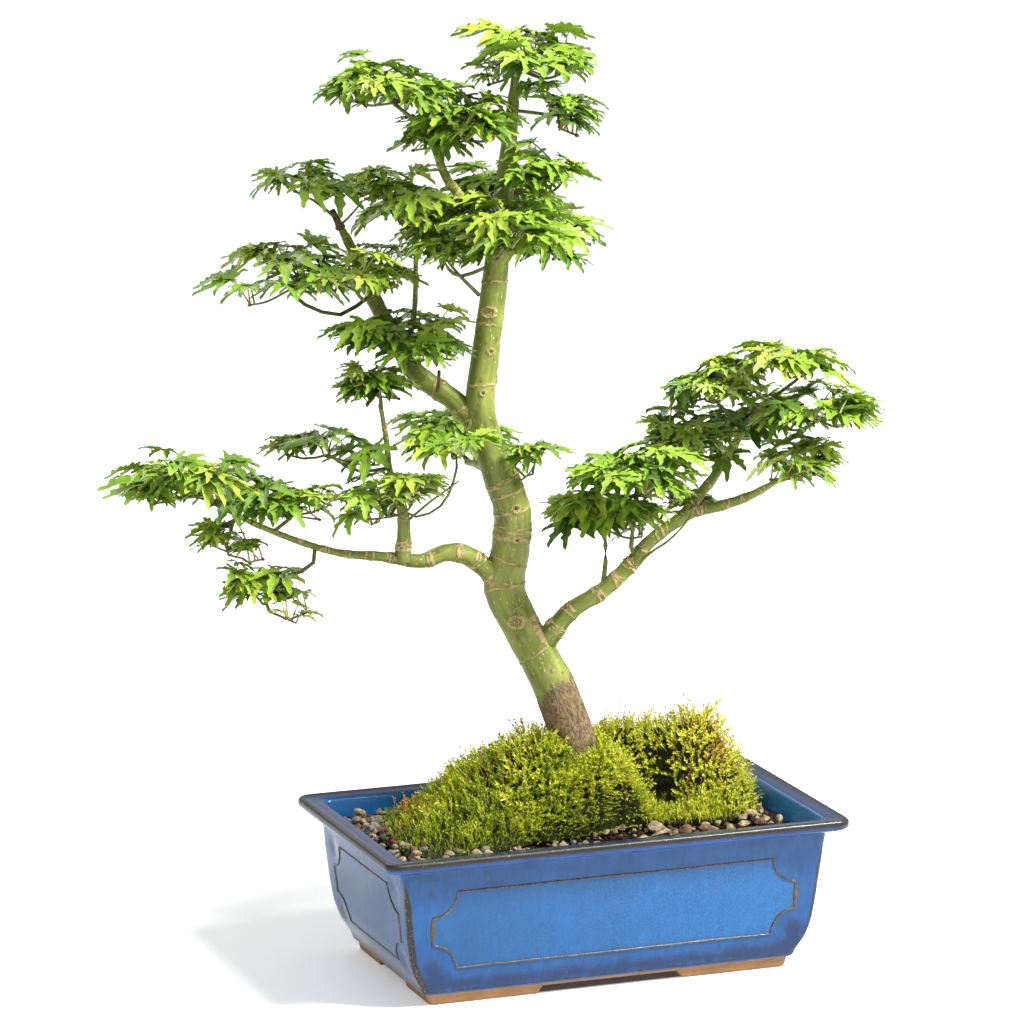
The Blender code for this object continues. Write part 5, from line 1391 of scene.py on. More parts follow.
@shared_effect("Living Bark", {"Flow": None, "Scar": 0.0, "Cork": 0.0, "Hollow": 0.0,
               "Light": (0.2, 0.3, 0.1, 1.0), "Deep": (0.1, 0.2, 0.05, 1.0),
               "Scar Color": (0.5, 0.4, 0.2, 1.0), "Cork Color": (0.2, 0.15, 0.1, 1.0), "Size": 1.0},
               "Color", "Roughness", "Height")
def living_bark(tree, given):
    """Smooth green bark with darker streaks along the limb, pale raised breathing pores in short
    upright dashes, purple-brown flecks, buff scars with brown crevices, and flaky cork."""
    flow = given["Flow"]
    along = tree.stretched(flow, (1.0, 1.0, 0.28))
    clouds = tree.mottle(along, 60.0, 3.2)
    streaks = tree.noise(tree.stretched(flow, (1.0, 1.0, 0.10)), 420.0, 3.0, 0.6)
    green = tree.mix(clouds, given["Deep"], given["Light"])
    green = tree.mix(tree.spread(streaks, 0.50, 0.72, 0.0, 0.50), green, given["Deep"])
    silver = tree.noise(tree.stretched(flow, (1.0, 1.0, 0.45)), 170.0, 4.0, 0.65)
    green = tree.mix(tree.spread(silver, 0.54, 0.74, 0.0, 0.40), green, colour("b3b577"))
    dashes = tree.cells(tree.stretched(flow, (1.0, 1.0, 0.40)), 560.0)
    pores = tree.times(tree.spread(dashes.outputs["Distance"], 0.30, 0.18), tree.chosen(dashes, 0, 0.66))
    gather = tree.spread(tree.noise(flow, 45.0, 1.0), 0.38, 0.50)
    pores = tree.times(pores, gather)
    spots = tree.cells(tree.stretched(flow, (1.0, 1.0, 0.60)), 175.0)
    spots = tree.times(tree.spread(spots.outputs["Distance"], 0.34, 0.16), tree.chosen(spots, 1, 0.50))
    spots = tree.times(spots, tree.spread(tree.noise(flow, 500.0, 3.0), 0.40, 0.52))
    green = tree.mix(tree.times(spots, 0.80), green, colour("7a5546"))
    green = tree.mix(tree.times(pores, 0.85), green, colour("d8cf9c"))
    wrinkle = tree.noise(tree.stretched(flow, (0.40, 0.40, 1.5)), 620.0, 4.0, 0.7, 0.6)
    buff = tree.mix(tree.spread(wrinkle, 0.36, 0.48), colour("7a5c34"), given["Scar Color"])
    buff = tree.mix(tree.spread(wrinkle, 0.55, 0.70), buff, colour("ead9a6"))
    mask = tree.spread(tree.uneven(given["Scar"], wrinkle, 0.9), 0.26, 0.48)
    skin = tree.mix(mask, green, buff)
    flakes = tree.noise(tree.stretched(flow, (1.0, 1.0, 0.42)), 520.0, 5.0, 0.70, 0.5)
    cracks = tree.cells(tree.stretched(flow, (1.0, 1.0, 0.24)), 330.0, "DISTANCE_TO_EDGE")
    crack = tree.spread(cracks.outputs["Distance"], 0.10, 0.01)
    crack = tree.times(crack, tree.spread(tree.noise(flow, 240.0, 2.0), 0.44, 0.60))
    cork = tree.mix(tree.spread(flakes, 0.36, 0.58), colour("65513f"), given["Cork Color"])
    cork = tree.mix(tree.spread(flakes, 0.60, 0.76), cork, colour("b09a78"))
    tint = tree.spread(tree.noise(flow, 90.0, 3.0), 0.52, 0.72, 0.0, 0.40)
    cork = tree.mix(tint, cork, colour("858047"))
    cork = tree.mix(tree.times(crack, 0.45), cork, colour("4a3727"))
    patchy = tree.noise(tree.stretched(flow, (1.0, 1.0, 0.5)), 210.0, 3.0, 0.65)
    corky = tree.spread(tree.uneven(given["Cork"], patchy, 1.5, clamp=True), 0.34, 0.66)
    corky = tree.times(corky, tree.less(1.0, tree.times(mask, 0.6)))
    skin = tree.mix(corky, skin, cork)
    # Painted shade: dark brown in the closed wounds' sunken middles and creases.
    skin = tree.mix(tree.spread(given["Hollow"], 0.25, 0.8), skin, colour("2b2014"))
    rough = tree.plus(0.46, tree.times(tree.value("MAXIMUM", mask, corky), 0.42))
    relief = tree.plus(tree.times(streaks, 0.14), tree.times(pores, 0.35))
    relief = tree.plus(relief, tree.times(tree.times(mask, wrinkle), 1.5))
    rugged = tree.less(tree.times(flakes, 1.7), tree.times(crack, 0.8))
    relief = tree.plus(relief, tree.times(corky, rugged))
    return [skin, rough, tree.times(relief, given["Size"])]


@shared_effect("Leaf Blade", {"Vector": None, "Across": 0.5, "Color": (0.1, 0.3, 0.05, 1.0),
               "Vein": (0.3, 0.5, 0.2, 1.0)}, "Color", "Roughness", "Height")
def leaf_blade(tree, given):
    """A blade with a paler midrib, fainter side veins, soft blotches and a crinkled skin."""
    rib = tree.spread(given["Across"], 0.16, 0.02, 0.0, 0.55)
    blotch = tree.mottle(given["Vector"], 90.0, 2.4)
    base = tree.mix(blotch, tree.mix(1.0, given["Color"], (0.60, 0.66, 0.62, 1.0), "MULTIPLY"),
                    tree.mix(1.0, given["Color"], (1.22, 1.16, 1.02, 1.0), "MULTIPLY"))
    veins = tree.cells(given["Vector"], 420.0, "DISTANCE_TO_EDGE").outputs["Distance"]
    base = tree.mix(tree.spread(veins, 0.10, 0.02, 0.0, 0.22), base, given["Vein"])
    base = tree.mix(rib, base, given["Vein"])
    crinkle = tree.noise(given["Vector"], 380.0, 2.0)
    rough = tree.spread(blotch, 0.0, 1.0, 0.30, 0.46)
    height = tree.less(crinkle, tree.times(rib, 0.6))
    return [base, rough, height]


@shared_effect("Stone Skin", {"Vector": None, "Light": (0.5, 0.4, 0.3, 1), "Dark": (0.2, 0.2, 0.1, 1),
               "Scale": 160.0}, "Color", "Roughness", "Height")
def stone_skin(tree, given):
    """Stone with two tones in patches, dark pits, pale specks and dust in its hollows."""
    patch = tree.mottle(given["Vector"], given["Scale"], 3.4)
    grit = tree.group(fine_grit(), {"Vector": given["Vector"], "Scale": 900.0})
    base = tree.mix(patch, given["Dark"], given["Light"])
    base = tree.mix(tree.times(grit["Mask"], 0.55), base, colour("d8cdb4"))
    pits = tree.cells(given["Vector"], 520.0).outputs["Distance"]
    pitted = tree.spread(pits, 0.22, 0.08, 0.0, 0.7)
    base = tree.mix(pitted, base, colour("2a2119"))
    height = tree.less(grit["Height"], tree.times(pitted, 1.3))
    return [base, tree.spread(patch, 0, 1, 0.62, 0.86), height]


@shared_effect("Humus", {"Vector": None, "Light": (0.1, 0.06, 0.03, 1)}, "Color", "Height")
def humus(tree, given):
    """Dark crumbly earth with brown flecks."""
    crumbs = tree.group(fine_grit(), {"Vector": given["Vector"], "Scale": 420.0})
    flecks = tree.mottle(given["Vector"], 240.0, 4.0)
    return [tree.mix(flecks, colour("160f0a"), given["Light"]), crumbs["Height"]]


@shared_effect("Moss Tone", {"Vector": None, "Color": (0.2, 0.4, 0.05, 1)}, "Color", "Roughness")
def moss_tone(tree, given):
    """Moss green that varies between neighbouring shoots and cushions."""
    shoot = tree.mottle(given["Vector"], 190.0, 4.2)
    cushion = tree.noise(given["Vector"], 38.0, 2.0)
    base = tree.mix(shoot, tree.mix(1.0, given["Color"], (0.55, 0.62, 0.50, 1.0), "MULTIPLY"),
                    tree.mix(1.0, given["Color"], (1.25, 1.18, 1.0, 1.0), "MULTIPLY"))
    base = tree.mix(tree.spread(cushion, 0.50, 0.68, 0.0, 0.30), base, colour("b4b83c"))
    return [base, tree.spread(shoot, 0, 1, 0.50, 0.70)]


# ---- materials


def glaze_material(pot):
    """Cobalt glaze: brighter inside the panels, navy where it pools, fine rivulets down the wall,
    pinholes, brown where it is thin, and the bare clay of the foot."""
    made, tree, shader = new_material("cobalt_glaze", pot.glaze, 0.22, 0.32,
                                      Coat_Weight=0.22, Coat_Roughness=0.08)
    place = tree.place()
    clouds = tree.mottle(place, 26.0, 3.0)
    runs = tree.noise(tree.stretched(place, (1.0, 1.0, 0.16)), 300.0, 4.0, 0.62, 0.3)
    speckle = tree.noise(place, 700.0, 3.0, 0.7)
    base = tree.mix(clouds, shade(pot.glaze, 0.72), shade(pot.glaze, 1.16))
    base = tree.mix(tree.spread(runs, 0.44, 0.66, 0.0, 0.45), base, shade(pot.glaze, 0.55))
    panel = tree.number("panel")
    bright = tree.times(panel, tree.spread(speckle, 0.40, 0.62, 0.25, 0.80))
    # Painted light: across the pot the panel blue goes from darker on the left to lighter on the right.
    side = tree.spread(tree.add("SeparateXYZ", {0: place}).outputs[0], -0.15, 0.17)
    base = tree.mix(bright, base, tree.mix(side, shade(pot.panel, 0.74), shade(pot.panel, 1.25)))
    milky = tree.noise(tree.stretched(place, (1.0, 1.0, 0.5)), 130.0, 5.0, 0.7)
    base = tree.mix(tree.spread(milky, 0.56, 0.76, 0.0, 0.45), base, shade(pot.panel, 1.45))
    pool = tree.uneven(tree.number("pool"), tree.noise(place, 75.0, 4.0, 0.65), 1.0)
    base = tree.mix(tree.spread(pool, 0.30, 0.95, 0.0, 0.88), base, pot.pooled)
    rim = tree.number("rim")
    band = tree.mottle(tree.stretched(place, (0.3, 0.3, 1.0)), 70.0, 3.5)
    royal = tree.mix(band, shade(pot.rim, 0.55), pot.rim)
    base = tree.mix(tree.spread(rim, 0.0, 0.4), base, royal)
    dark = tree.mix(band, colour("151c33"), colour("243257"))
    base = tree.mix(tree.spread(rim, 0.6, 0.9, 0.0, 0.92), base, dark)
    holes = tree.cells(place, 105.0)
    holes = tree.times(tree.chosen(holes, 0, 0.90), tree.spread(holes.outputs["Distance"], 0.07, 0.03))
    base = tree.mix(holes, base, colour("8b6a48"))
    base = tree.group(thin_glaze(), {"Vector": place, "Thin": tree.number("thin"), "Glaze": base,
                                     "Bare": colour("2b2824")})["Color"]
    grit = tree.group(fine_grit(), {"Vector": place, "Scale": 1300.0})
    earth = tree.mottle(place, 55.0, 3.0)
    clay = tree.mix(earth, shade(pot.clay, 0.72), pot.clay)
    clay = tree.mix(tree.times(grit["Mask"], 0.35), clay, colour("8a5a34"))
    bare = tree.number("clay")
    base = tree.mix(bare, base, clay)
    glossy = tree.spread(tree.number("thin"), 0.3, 1.0, 0.18, 0.45)
    rough = tree.plus(glossy, tree.times(bare, 0.6), clamp=True)
    orange = tree.noise(place, 210.0, 2.0)
    height = tree.plus(tree.times(orange, 0.35), tree.times(tree.times(bare, grit["Height"]), 0.6))
    height = tree.less(height, tree.times(holes, 0.8))
    coat = tree.times(tree.less(1.0, bare), 0.22)
    join_up(tree, shader, Base_Color=base, Roughness=rough, Coat_Weight=coat,
            Normal=tree.bump(height, 0.0006, 0.55))
    return made


def bead_material(pot):
    """The raised panel lines: glaze run thin to olive brown, bluer where it caught."""
    made, tree, shader = new_material("thin_glaze_line", colour("3f3a30"), 0.3, 0.5,
                                      Coat_Weight=0.25, Coat_Roughness=0.1)
    place = tree.place()
    olive = tree.mottle(place, 120.0, 3.0)
    bare = tree.mix(olive, colour("2e2b26"), colour("5d5138"))
    caught = tree.spread(tree.noise(place, 90.0, 3.0), 0.56, 0.72, 1.0, 0.45)
    base = tree.group(thin_glaze(), {"Vector": place, "Thin": caught, "Glaze": pot.pooled,
                                     "Bare": bare})["Color"]
    join_up(tree, shader, Base_Color=base, Roughness=tree.spread(olive, 0, 1, 0.22, 0.42),
            Normal=tree.bump(tree.noise(place, 500.0, 3.0), 0.0004, 0.5))
    return made


def bark_material(name, bark, size, cork=None):
    """Bark of a limb, from the numbers that its mesh carries."""
    made, tree, shader = new_material(name, bark.light, 0.55, 0.35)
    result = tree.group(living_bark(), {
        "Flow": tree.vector("flow"), "Scar": tree.number("scar"),
        "Cork": tree.number("cork") if cork is None else cork, "Hollow": tree.number("hollow"),
        "Light": bark.light, "Deep": bark.deep, "Scar Color": bark.scar,
        "Cork Color": bark.cork, "Size": size})
    join_up(tree, shader, Base_Color=result["Color"], Roughness=result["Roughness"],
            Normal=tree.bump(result["Height"], 0.0011, 0.8))
    return made


def cut_wood_material():
    """The end and sides of a pruned stub: greyed wood with dark checks."""
    made, tree, shader = new_material("cut_wood", colour("8c7a5c"), 0.8, 0.3)
    place = tree.place()
    rings = tree.cells(place, 900.0, "DISTANCE_TO_EDGE").outputs["Distance"]
    grain = tree.mottle(place, 330.0, 4.0)
    base = tree.mix(grain, colour("4b3a26"), colour("a08b68"))
    base = tree.mix(tree.spread(rings, 0.10, 0.02, 0.0, 0.8), base, colour("241a10"))
    join_up(tree, shader, Base_Color=base, Roughness=tree.spread(grain, 0, 1, 0.7, 0.9),
            Normal=tree.bump(rings, 0.0006, 0.7))
    return made


def twig_material(name, light, deep):
    """Young twigs: green with brown streaks and buff rings at their joints."""
    made, tree, shader = new_material(name, light, 0.55, 0.4)
    place = tree.place()
    streak = tree.mottle(place, 110.0, 3.6)
    specks = tree.cells(place, 620.0).outputs["Distance"]
    base = tree.mix(streak, deep, light)
    base = tree.mix(tree.spread(specks, 0.22, 0.08, 0.0, 0.6), base, colour("b7a878"))
    join_up(tree, shader, Base_Color=base, Roughness=tree.spread(streak, 0, 1, 0.62, 0.48),
            Normal=tree.bump(tree.noise(place, 900.0, 3.0), 0.0004, 0.5))
    return made


def stalk_material(foliage):
    """Leaf stalks: pale green with darker runs, flushed with red where they leave the twig."""
    light = foliage.stalk_colour
    made, tree, shader = new_material("leaf_stalk", light, 0.5, 0.4)
    place = tree.place()
    streak = tree.mottle(place, 160.0, 3.0)
    base = tree.mix(streak, colour("94a046"), light)
    flush = tree.times(tree.number("foot"), tree.spread(tree.noise(place, 60.0, 2.0), 0.42, 0.58))
    base = tree.mix(flush, base, colour("b8524a"))
    join_up(tree, shader, Base_Color=base, Roughness=tree.spread(streak, 0, 1, 0.55, 0.42),
            Normal=tree.bump(tree.noise(place, 700.0, 2.0), 0.0003, 0.5))
    return made


def leaf_material(name, base, foliage):
    """One green of the leaves, with a paler underside."""
    made, tree, shader = new_material(name, base, 0.42, 0.42)
    place = tree.place()
    vein = tree.mix(0.5, base, foliage.stalk_colour)
    blade = tree.group(leaf_blade(), {"Vector": place, "Across": tree.number("across"),
                                      "Color": base, "Vein": vein})
    under = tree.mix(0.40, blade["Color"], colour("9db35c"))
    back = tree.add("NewGeometry").outputs["Backfacing"]
    join_up(tree, shader, Base_Color=tree.mix(back, blade["Color"], under),
            Roughness=blade["Roughness"], Normal=tree.bump(blade["Height"], 0.0007, 0.7))
    return made


def stone_material(name, light, dark, scale):
    """Stone of two tones in patches."""
    made, tree, shader = new_material(name, light, 0.75, 0.35)
    stone = tree.group(stone_skin(), {"Vector": tree.place(), "Light": light, "Dark": dark,
                                      "Scale": scale})
    join_up(tree, shader, Base_Color=stone["Color"], Roughness=stone["Roughness"],
            Normal=tree.bump(stone["Height"], 0.0007, 0.8))
    return made


def soil_material(name, light):
    """Dark earth with flecks of a lighter brown."""
    made, tree, shader = new_material(name, light, 0.95, 0.2)
    earth = tree.group(humus(), {"Vector": tree.place(), "Light": light})
    join_up(tree, shader, Base_Color=earth["Color"], Normal=tree.bump(earth["Height"], 0.0012, 0.9))
    return made


def moss_material(name, base):
    """One green of the moss."""
    made, tree, shader = new_material(name, base, 0.6, 0.3)
    tone = tree.group(moss_tone(), {"Vector": tree.place(), "Color": base})
    join_up(tree, shader, Base_Color=tone["Color"], Roughness=tone["Roughness"])
    return made


# The floor under the pot is painted dark as a painted shadow.
UNDER_POT = (0.136, 0.0745)          # half size of the dark floor under the pot


def floor_material(stage):
    """Matt off-white board with the faintest clouding. Away from the object it glows towards the
    camera, so that it runs into a white surround; to rough surfaces it is a duller board."""
    made, tree, shader = new_material("pale_floor", stage.floor, 0.85, 0.2,
                                      Emission_Color=(1.0, 1.0, 1.0, 1.0))
    place = tree.place()
    cloud = tree.mottle(place, 2.0, 1.0)
    path = tree.add("LightPath").outputs
    seen = tree.value("MAXIMUM", path["Is Camera Ray"], path["Is Glossy Ray"])
    away = tree.add("VectorMath", {0: place}, operation="LENGTH").outputs["Value"]
    glow = tree.times(tree.spread(away, 0.30, 1.0, 0.24, 0.58), seen)
    base = tree.mix(cloud, shade(stage.floor, 0.985), stage.floor)
    # Painted shadow: a rectangle under the pot where the floor is painted dark brown-grey and its glow
    # cut to a fifth.
    spot = tree.add("SeparateXYZ", {0: tree.add("VectorMath", {
        0: place, 1: tuple(-POT_MIDDLE)}, operation="ADD").outputs[0]}).outputs
    painted_shadow_under_pot = tree.times(*(tree.value("LESS_THAN", tree.value("ABSOLUTE", spot[axis]), reach)
                           for axis, reach in enumerate(UNDER_POT)))
    glow_outside_painted_shadow = tree.less(1.0, tree.times(painted_shadow_under_pot, 0.8))
    base = tree.mix(painted_shadow_under_pot, base, colour("6a5f57"))
    dull = tree.mix(1.0, base, (0.70, 0.70, 0.70, 1.0), "MULTIPLY")
    join_up(tree, shader, Base_Color=tree.mix(seen, dull, base), Emission_Strength=tree.times(glow, glow_outside_painted_shadow))
    return made


# ---- what a user changes


def tone(name, description, display):
    return bpy.props.FloatVectorProperty(name=name, description=description, subtype="COLOR",
                                         size=4, min=0.0, max=1.0, default=colour(display))


def share(name, description, default, low=0.0, high=4.0):
    return bpy.props.FloatProperty(name=name, description=description, default=default,
                                   min=low, max=high, subtype="FACTOR")


def length(name, description, default):
    return bpy.props.FloatProperty(name=name, description=description, default=default,
                                   min=0.0001, max=1.0, subtype="DISTANCE", unit="LENGTH",
                                   precision=4)


def count(name, description, default):
    return bpy.props.IntProperty(name=name, description=description, default=default, min=1, max=20000)


class BonsaiPot(bpy.types.PropertyGroup):
    """Glaze and clay of the pot."""
    glaze: tone("Glaze", "Cobalt of the wall", "195b9c")
    panel: tone("Panel", "Brighter blue inside the panels", "236ca8")
    pooled: tone("Pooled glaze", "Navy where the glaze runs thick", "122f5e")
    rim: tone("Rim", "Royal blue of the rim", "0a57ae")
    clay: tone("Clay", "Bare fired clay of the foot", "bf9263")
    line_width: length("Line width", "Half width of the raised panel lines", 0.00075)
    line_rise: length("Line rise", "How far the panel lines stand out", 0.0008)


class BonsaiBark(bpy.types.PropertyGroup):
    """Skin of the trunk, boughs and twigs."""
    light: tone("Light green", "Sunlit green of smooth bark", "a3ab50")
    deep: tone("Deep green", "Darker streaks of smooth bark", "5f6a25")
    scar: tone("Scars", "Buff rings and closed wounds", "d2b87f")
    cork: tone("Cork", "Brown corky bark at the foot", "97805c")
    spacing: length("Row spacing", "Distance between rows of the trunk's mesh", 0.0010)
    around: count("Points around", "Points round the trunk's mesh", 96)


class BonsaiFoliage(bpy.types.PropertyGroup):
    """Leaves, stalks, twigs and buds."""
    leaf_size: length("Leaf size", "Length of a large leaf's middle lobe", 0.034)
    stalk: length("Stalk", "Length of a leaf's stalk", 0.019)
    tip_spread: length("Tip spread", "Reach of a mass for each of its main twigs", 0.0085)
    leaves_per_tip: count("Leaves per tip", "Leaves about each twig's tip", 4)
    young: share("Young sprays", "Share of the sprays that are young", 0.13, 0.0, 1.0)
    # The five greens are dealt by a tone that rises with a leaf's height in its mass: painted light on
    # the upper leaves and painted shade on the lower, beside real variation between sprays and the young
    # ones.
    lime: tone("Lime", "Youngest leaves", "acbe5c")
    bright: tone("Bright", "Sunlit leaves", "b4cb46")
    middle: tone("Middle", "Most of the leaves", "9cc03c")
    deep: tone("Deep", "Leaves inside the crown", "7ea62e")
    dark: tone("Dark", "Old leaves in the shade", "5c8326")
    stalk_colour: tone("Stalks", "Pale green of stalks and veins", "c6d37c")


class BonsaiMoss(bpy.types.PropertyGroup):
    """Moss round the trunk."""
    shoots: count("Shoots", "Number of moss shoots", 11500)
    shoot_length: length("Shoot length", "Length of a moss shoot", 0.0130)
    # The four greens are dealt by a tone with painted light, rising on the mounds' tops and towards the
    # right, and painted shade in the hollow, beside real patches and random variation.
    tip: tone("Tips", "Yellow-green of the newest shoots", "e6e65a")
    fresh: tone("Fresh", "Bright green shoots", "cbd43a")
    green: tone("Green", "Most of the shoots", "a3b52b")
    shaded: tone("Shaded", "Shoots in the hollows", "66761c")
    stem: tone("Stalks", "Orange-brown spore stalks", "c0703a")


class BonsaiBed(bpy.types.PropertyGroup):
    """Soil and stones."""
    stones: count("Stones", "Number of stones on the bed", 1350)
    earth: tone("Soil", "Brown of the soil's flecks", "3c2818")
    buff: tone("Buff", "Pale weathered stones", "c4b08a")
    grey: tone("Grey", "Grey river stones", "8d8a7a")
    brown: tone("Brown", "Brown stones", "7a5638")
    slate: tone("Slate", "Dark stones", "3d3a36")
    rust: tone("Rust", "Red-brown stones", "6d3d28")


class BonsaiStage(bpy.types.PropertyGroup):
    """Floor and light."""
    floor: tone("Floor", "Pale floor", "f6f6f5")
    key: bpy.props.FloatProperty(name="Key light", description="Power of the large soft light",
                                 default=132.0, min=0.0, max=1000.0, subtype="POWER", unit="POWER")
    sky: share("Surroundings", "Brightness of the white surroundings", 0.52)
    lens: bpy.props.FloatProperty(name="Lens", description="Focal length of the camera",
                                  default=182.5, min=10.0, max=500.0, unit="CAMERA")


# ---- pieces


class BONSAI_OT_pot(bpy.types.Operator):
    """Make the glazed pot and its raised panel lines"""
    bl_idname = "bonsai.make_pot"
    bl_label = "Glazed Pot"

    def execute(self, context):
        pot = context.scene.bonsai_pot
        vertices, faces, values = pot_skin()
        add_piece("pot_glazed_body", "glaze", ["pot"], vertices, faces, [glaze_material(pot)],
                  values=values)
        beads = panel_beads(pot.line_width, pot.line_rise)
        add_piece("pot_panel_lines", "glaze", [], *beads, [bead_material(pot)])
        return {"FINISHED"}


class BONSAI_OT_bed(bpy.types.Operator):
    """Fill the pot with soil, crumbs and a bed of stones"""
    bl_idname = "bonsai.make_bed"
    bl_label = "Soil and Stones"

    def execute(self, context):
        bed = context.scene.bonsai_bed
        rng = np.random.default_rng(21)
        vertices, faces = soil_skin()
        earth = soil_material("soil_earth", bed.earth)
        add_piece("soil_top", "soil", ["soil"], vertices, faces, [earth])
        field = np.full(FIELD_CELLS, SOIL_TOP - 0.0006)

        def places(number):
            spots = rng.uniform(-1, 1, (number * 3, 2)) * (BED_HALF[0] - 0.005, BED_HALF[1] - 0.005)
            part = moss_part(spots[:, 0], spots[:, 1])
            return spots[part > UNDER_MOSS][:number]

        crumbs = places(1700)
        sizes = rng.uniform(0.0009, 0.0024, len(crumbs))
        heights = drop_stones(sizes, crumbs, field, 0.35)
        templates = [stone_template(rng, True) for _ in range(6)]
        axes = leaning_axes(rng.normal(0, 0.6, (len(crumbs), 3)) + (0, 0, 1.0),
                            rng.uniform(0, FULL_TURN, len(crumbs)))
        shape = planted(templates, rng.integers(0, 6, len(crumbs)), np.c_[crumbs, heights], axes, sizes)
        chips = rng.random(len(crumbs)) < 0.22
        bark_chip = soil_material("bark_crumbs", colour("7d5236"))
        add_piece("soil_crumbs", "soil", [], shape[0], shape[1],
                  [soil_material("crumb_earth", bed.earth), bark_chip],
                  kinds=chips[shape[2]], smooth=False)

        spots = places(bed.stones)
        x, y = spots.T
        left, right = x < LEFT_END, x > RIGHT_END
        lone = rng.random(len(spots))
        kept = np.where(left, lone < 0.62, np.where(right, lone < 0.25, lone < 0.40))
        sizes = np.where(left, rng.uniform(0.0026, 0.0047, len(spots)),
                         rng.uniform(0.0018, 0.0036, len(spots)))
        big = (rng.random(len(spots)) < 0.05) & ~left
        sizes = np.where(big, rng.uniform(0.0045, 0.0060, len(spots)), sizes)
        kept &= (np.abs(x) + sizes < BED_HALF[0]) & (np.abs(y) + sizes < BED_HALF[1])
        spots, sizes, big = np.vstack([spots[kept], BIG_STONES[:, :2]]), \
            np.r_[sizes[kept], BIG_STONES[:, 2]], np.r_[big[kept], np.ones(len(BIG_STONES), bool)]
        heights = drop_stones(sizes, spots, field, 0.40)
        sunk = heights < STONES_BELOW - 0.3 * sizes
        spots, sizes, big, heights = (block[sunk] for block in (spots, sizes, big, heights))
        left, front_right = spots[:, 0] < LEFT_END, (spots[:, 1] < 0.0) & (spots[:, 0] > -0.02)
        templates = [stone_template(rng, True) for _ in range(12)]
        templates += [stone_template(rng, False) for _ in range(10)]
        which = np.where(left, rng.integers(12, 22, len(spots)), rng.integers(0, 12, len(spots)))
        which = np.where(rng.random(len(spots)) < 0.2, rng.integers(0, 22, len(spots)), which)
        axes = leaning_axes(rng.normal(0, 0.35, (len(spots), 3)) + (0, 0, 1.0),
                            rng.uniform(0, FULL_TURN, len(spots)))
        shape = planted(templates, which, np.c_[spots, heights], axes, sizes)
        odds = rng.random(len(spots))
        kinds = np.where(left, np.digitize(odds, (0.26, 0.56, 0.80, 0.93)),
                         np.digitize(odds, (0.42, 0.56, 0.76, 0.88)))
        kinds = np.where(big, (odds > 0.85) * 2, kinds)
        kinds = np.where(front_right & ~big & (odds > 0.6), 2 + (odds > 0.8), kinds)
        stones = [stone_material("stone_" + name, getattr(bed, name), colour(dark), scale)
                  for name, dark, scale in STONE_KINDS]
        add_piece("gravel_stones", "gravel", ["gravel"], shape[0], shape[1], stones,
                  kinds=kinds[shape[2]], smooth=False)
        return {"FINISHED"}


class BONSAI_OT_moss(bpy.types.Operator):
    """Plant the moss: its cushion, feathery shoots and spore stalks"""
    bl_idname = "bonsai.make_moss"
    bl_label = "Moss"

    def execute(self, context):
        moss = context.scene.bonsai_moss
        rng = np.random.default_rng(51)
        vertices, faces = moss_ground()
        # Painted shade: the cushion is the shaded moss green darkened to a quarter, a dark sheet that
        # fills the gaps between the shoots.
        ground = soil_material("moss_ground", shade(moss.shaded, 0.25))
        add_piece("moss_cushion", "moss", ["moss"], vertices, faces, [ground])
        roots, normals, sizes, tones, part = moss_shoots(moss.shoots, moss.shoot_length, rng)
        templates = [shoot_template(rng) for _ in range(14)]
        axes = leaning_axes(normals, rng.uniform(0, FULL_TURN, len(roots)))
        which = rng.integers(0, len(templates), len(roots))
        # The tone's painted light and shade pick each shoot's green.
        kinds = 3 - np.digitize(tones, (-0.75, 0.05, 0.80))
        greens = [moss_material("moss_" + name, getattr(moss, name))
                  for name in ("tip", "fresh", "green", "shaded")]
        order = np.argsort(roots[:, 0])
        for number, rows in enumerate(np.array_split(order, 3)):
            shape = planted(templates, which[rows], roots[rows], axes[rows], sizes[rows])
            add_piece("moss_shoots_" + ("left", "middle", "right")[number], "moss", [], shape[0],
                      shape[1], greens, kinds=kinds[rows][shape[2]], smooth=False)
        lines = seta_lines(rng)
        radii = np.repeat([[0.00022, 0.0002, 0.00018, 0.00016, 0.00014]], len(lines), axis=0)
        stalks, walls, ends = thin_tubes(lines, radii, 3)
        stem, cap = moss_material("spore_stalk", moss.stem), \
            moss_material("spore_capsule", colour("c98a3a"))
        t = np.linspace(0, 1, 5)
        heading = unit(lines[:, -1] - lines[:, -2]) + rng.normal(0, 0.35, (len(lines), 3))
        capsule = lines[:, -1][:, None] + heading[:, None] * (t * 0.0017)[None, :, None]
        swell = np.repeat([[0.00016, 0.00040, 0.00052, 0.00040, 0.00010]], len(lines), axis=0)
        pods, pod_walls, pod_ends = thin_tubes(capsule, swell, 5)
        first = len(stalks)
        kinds = np.concatenate([np.zeros(len(walls)), np.ones(len(pod_walls)),
                                np.zeros(len(ends)), np.ones(len(pod_ends))])
        add_piece("moss_spore_stalks", "moss", [], np.vstack([stalks, pods]),
                  [np.vstack([walls, pod_walls + first]), ends, pod_ends + first], [stem, cap],
                  kinds=kinds)
        return {"FINISHED"}


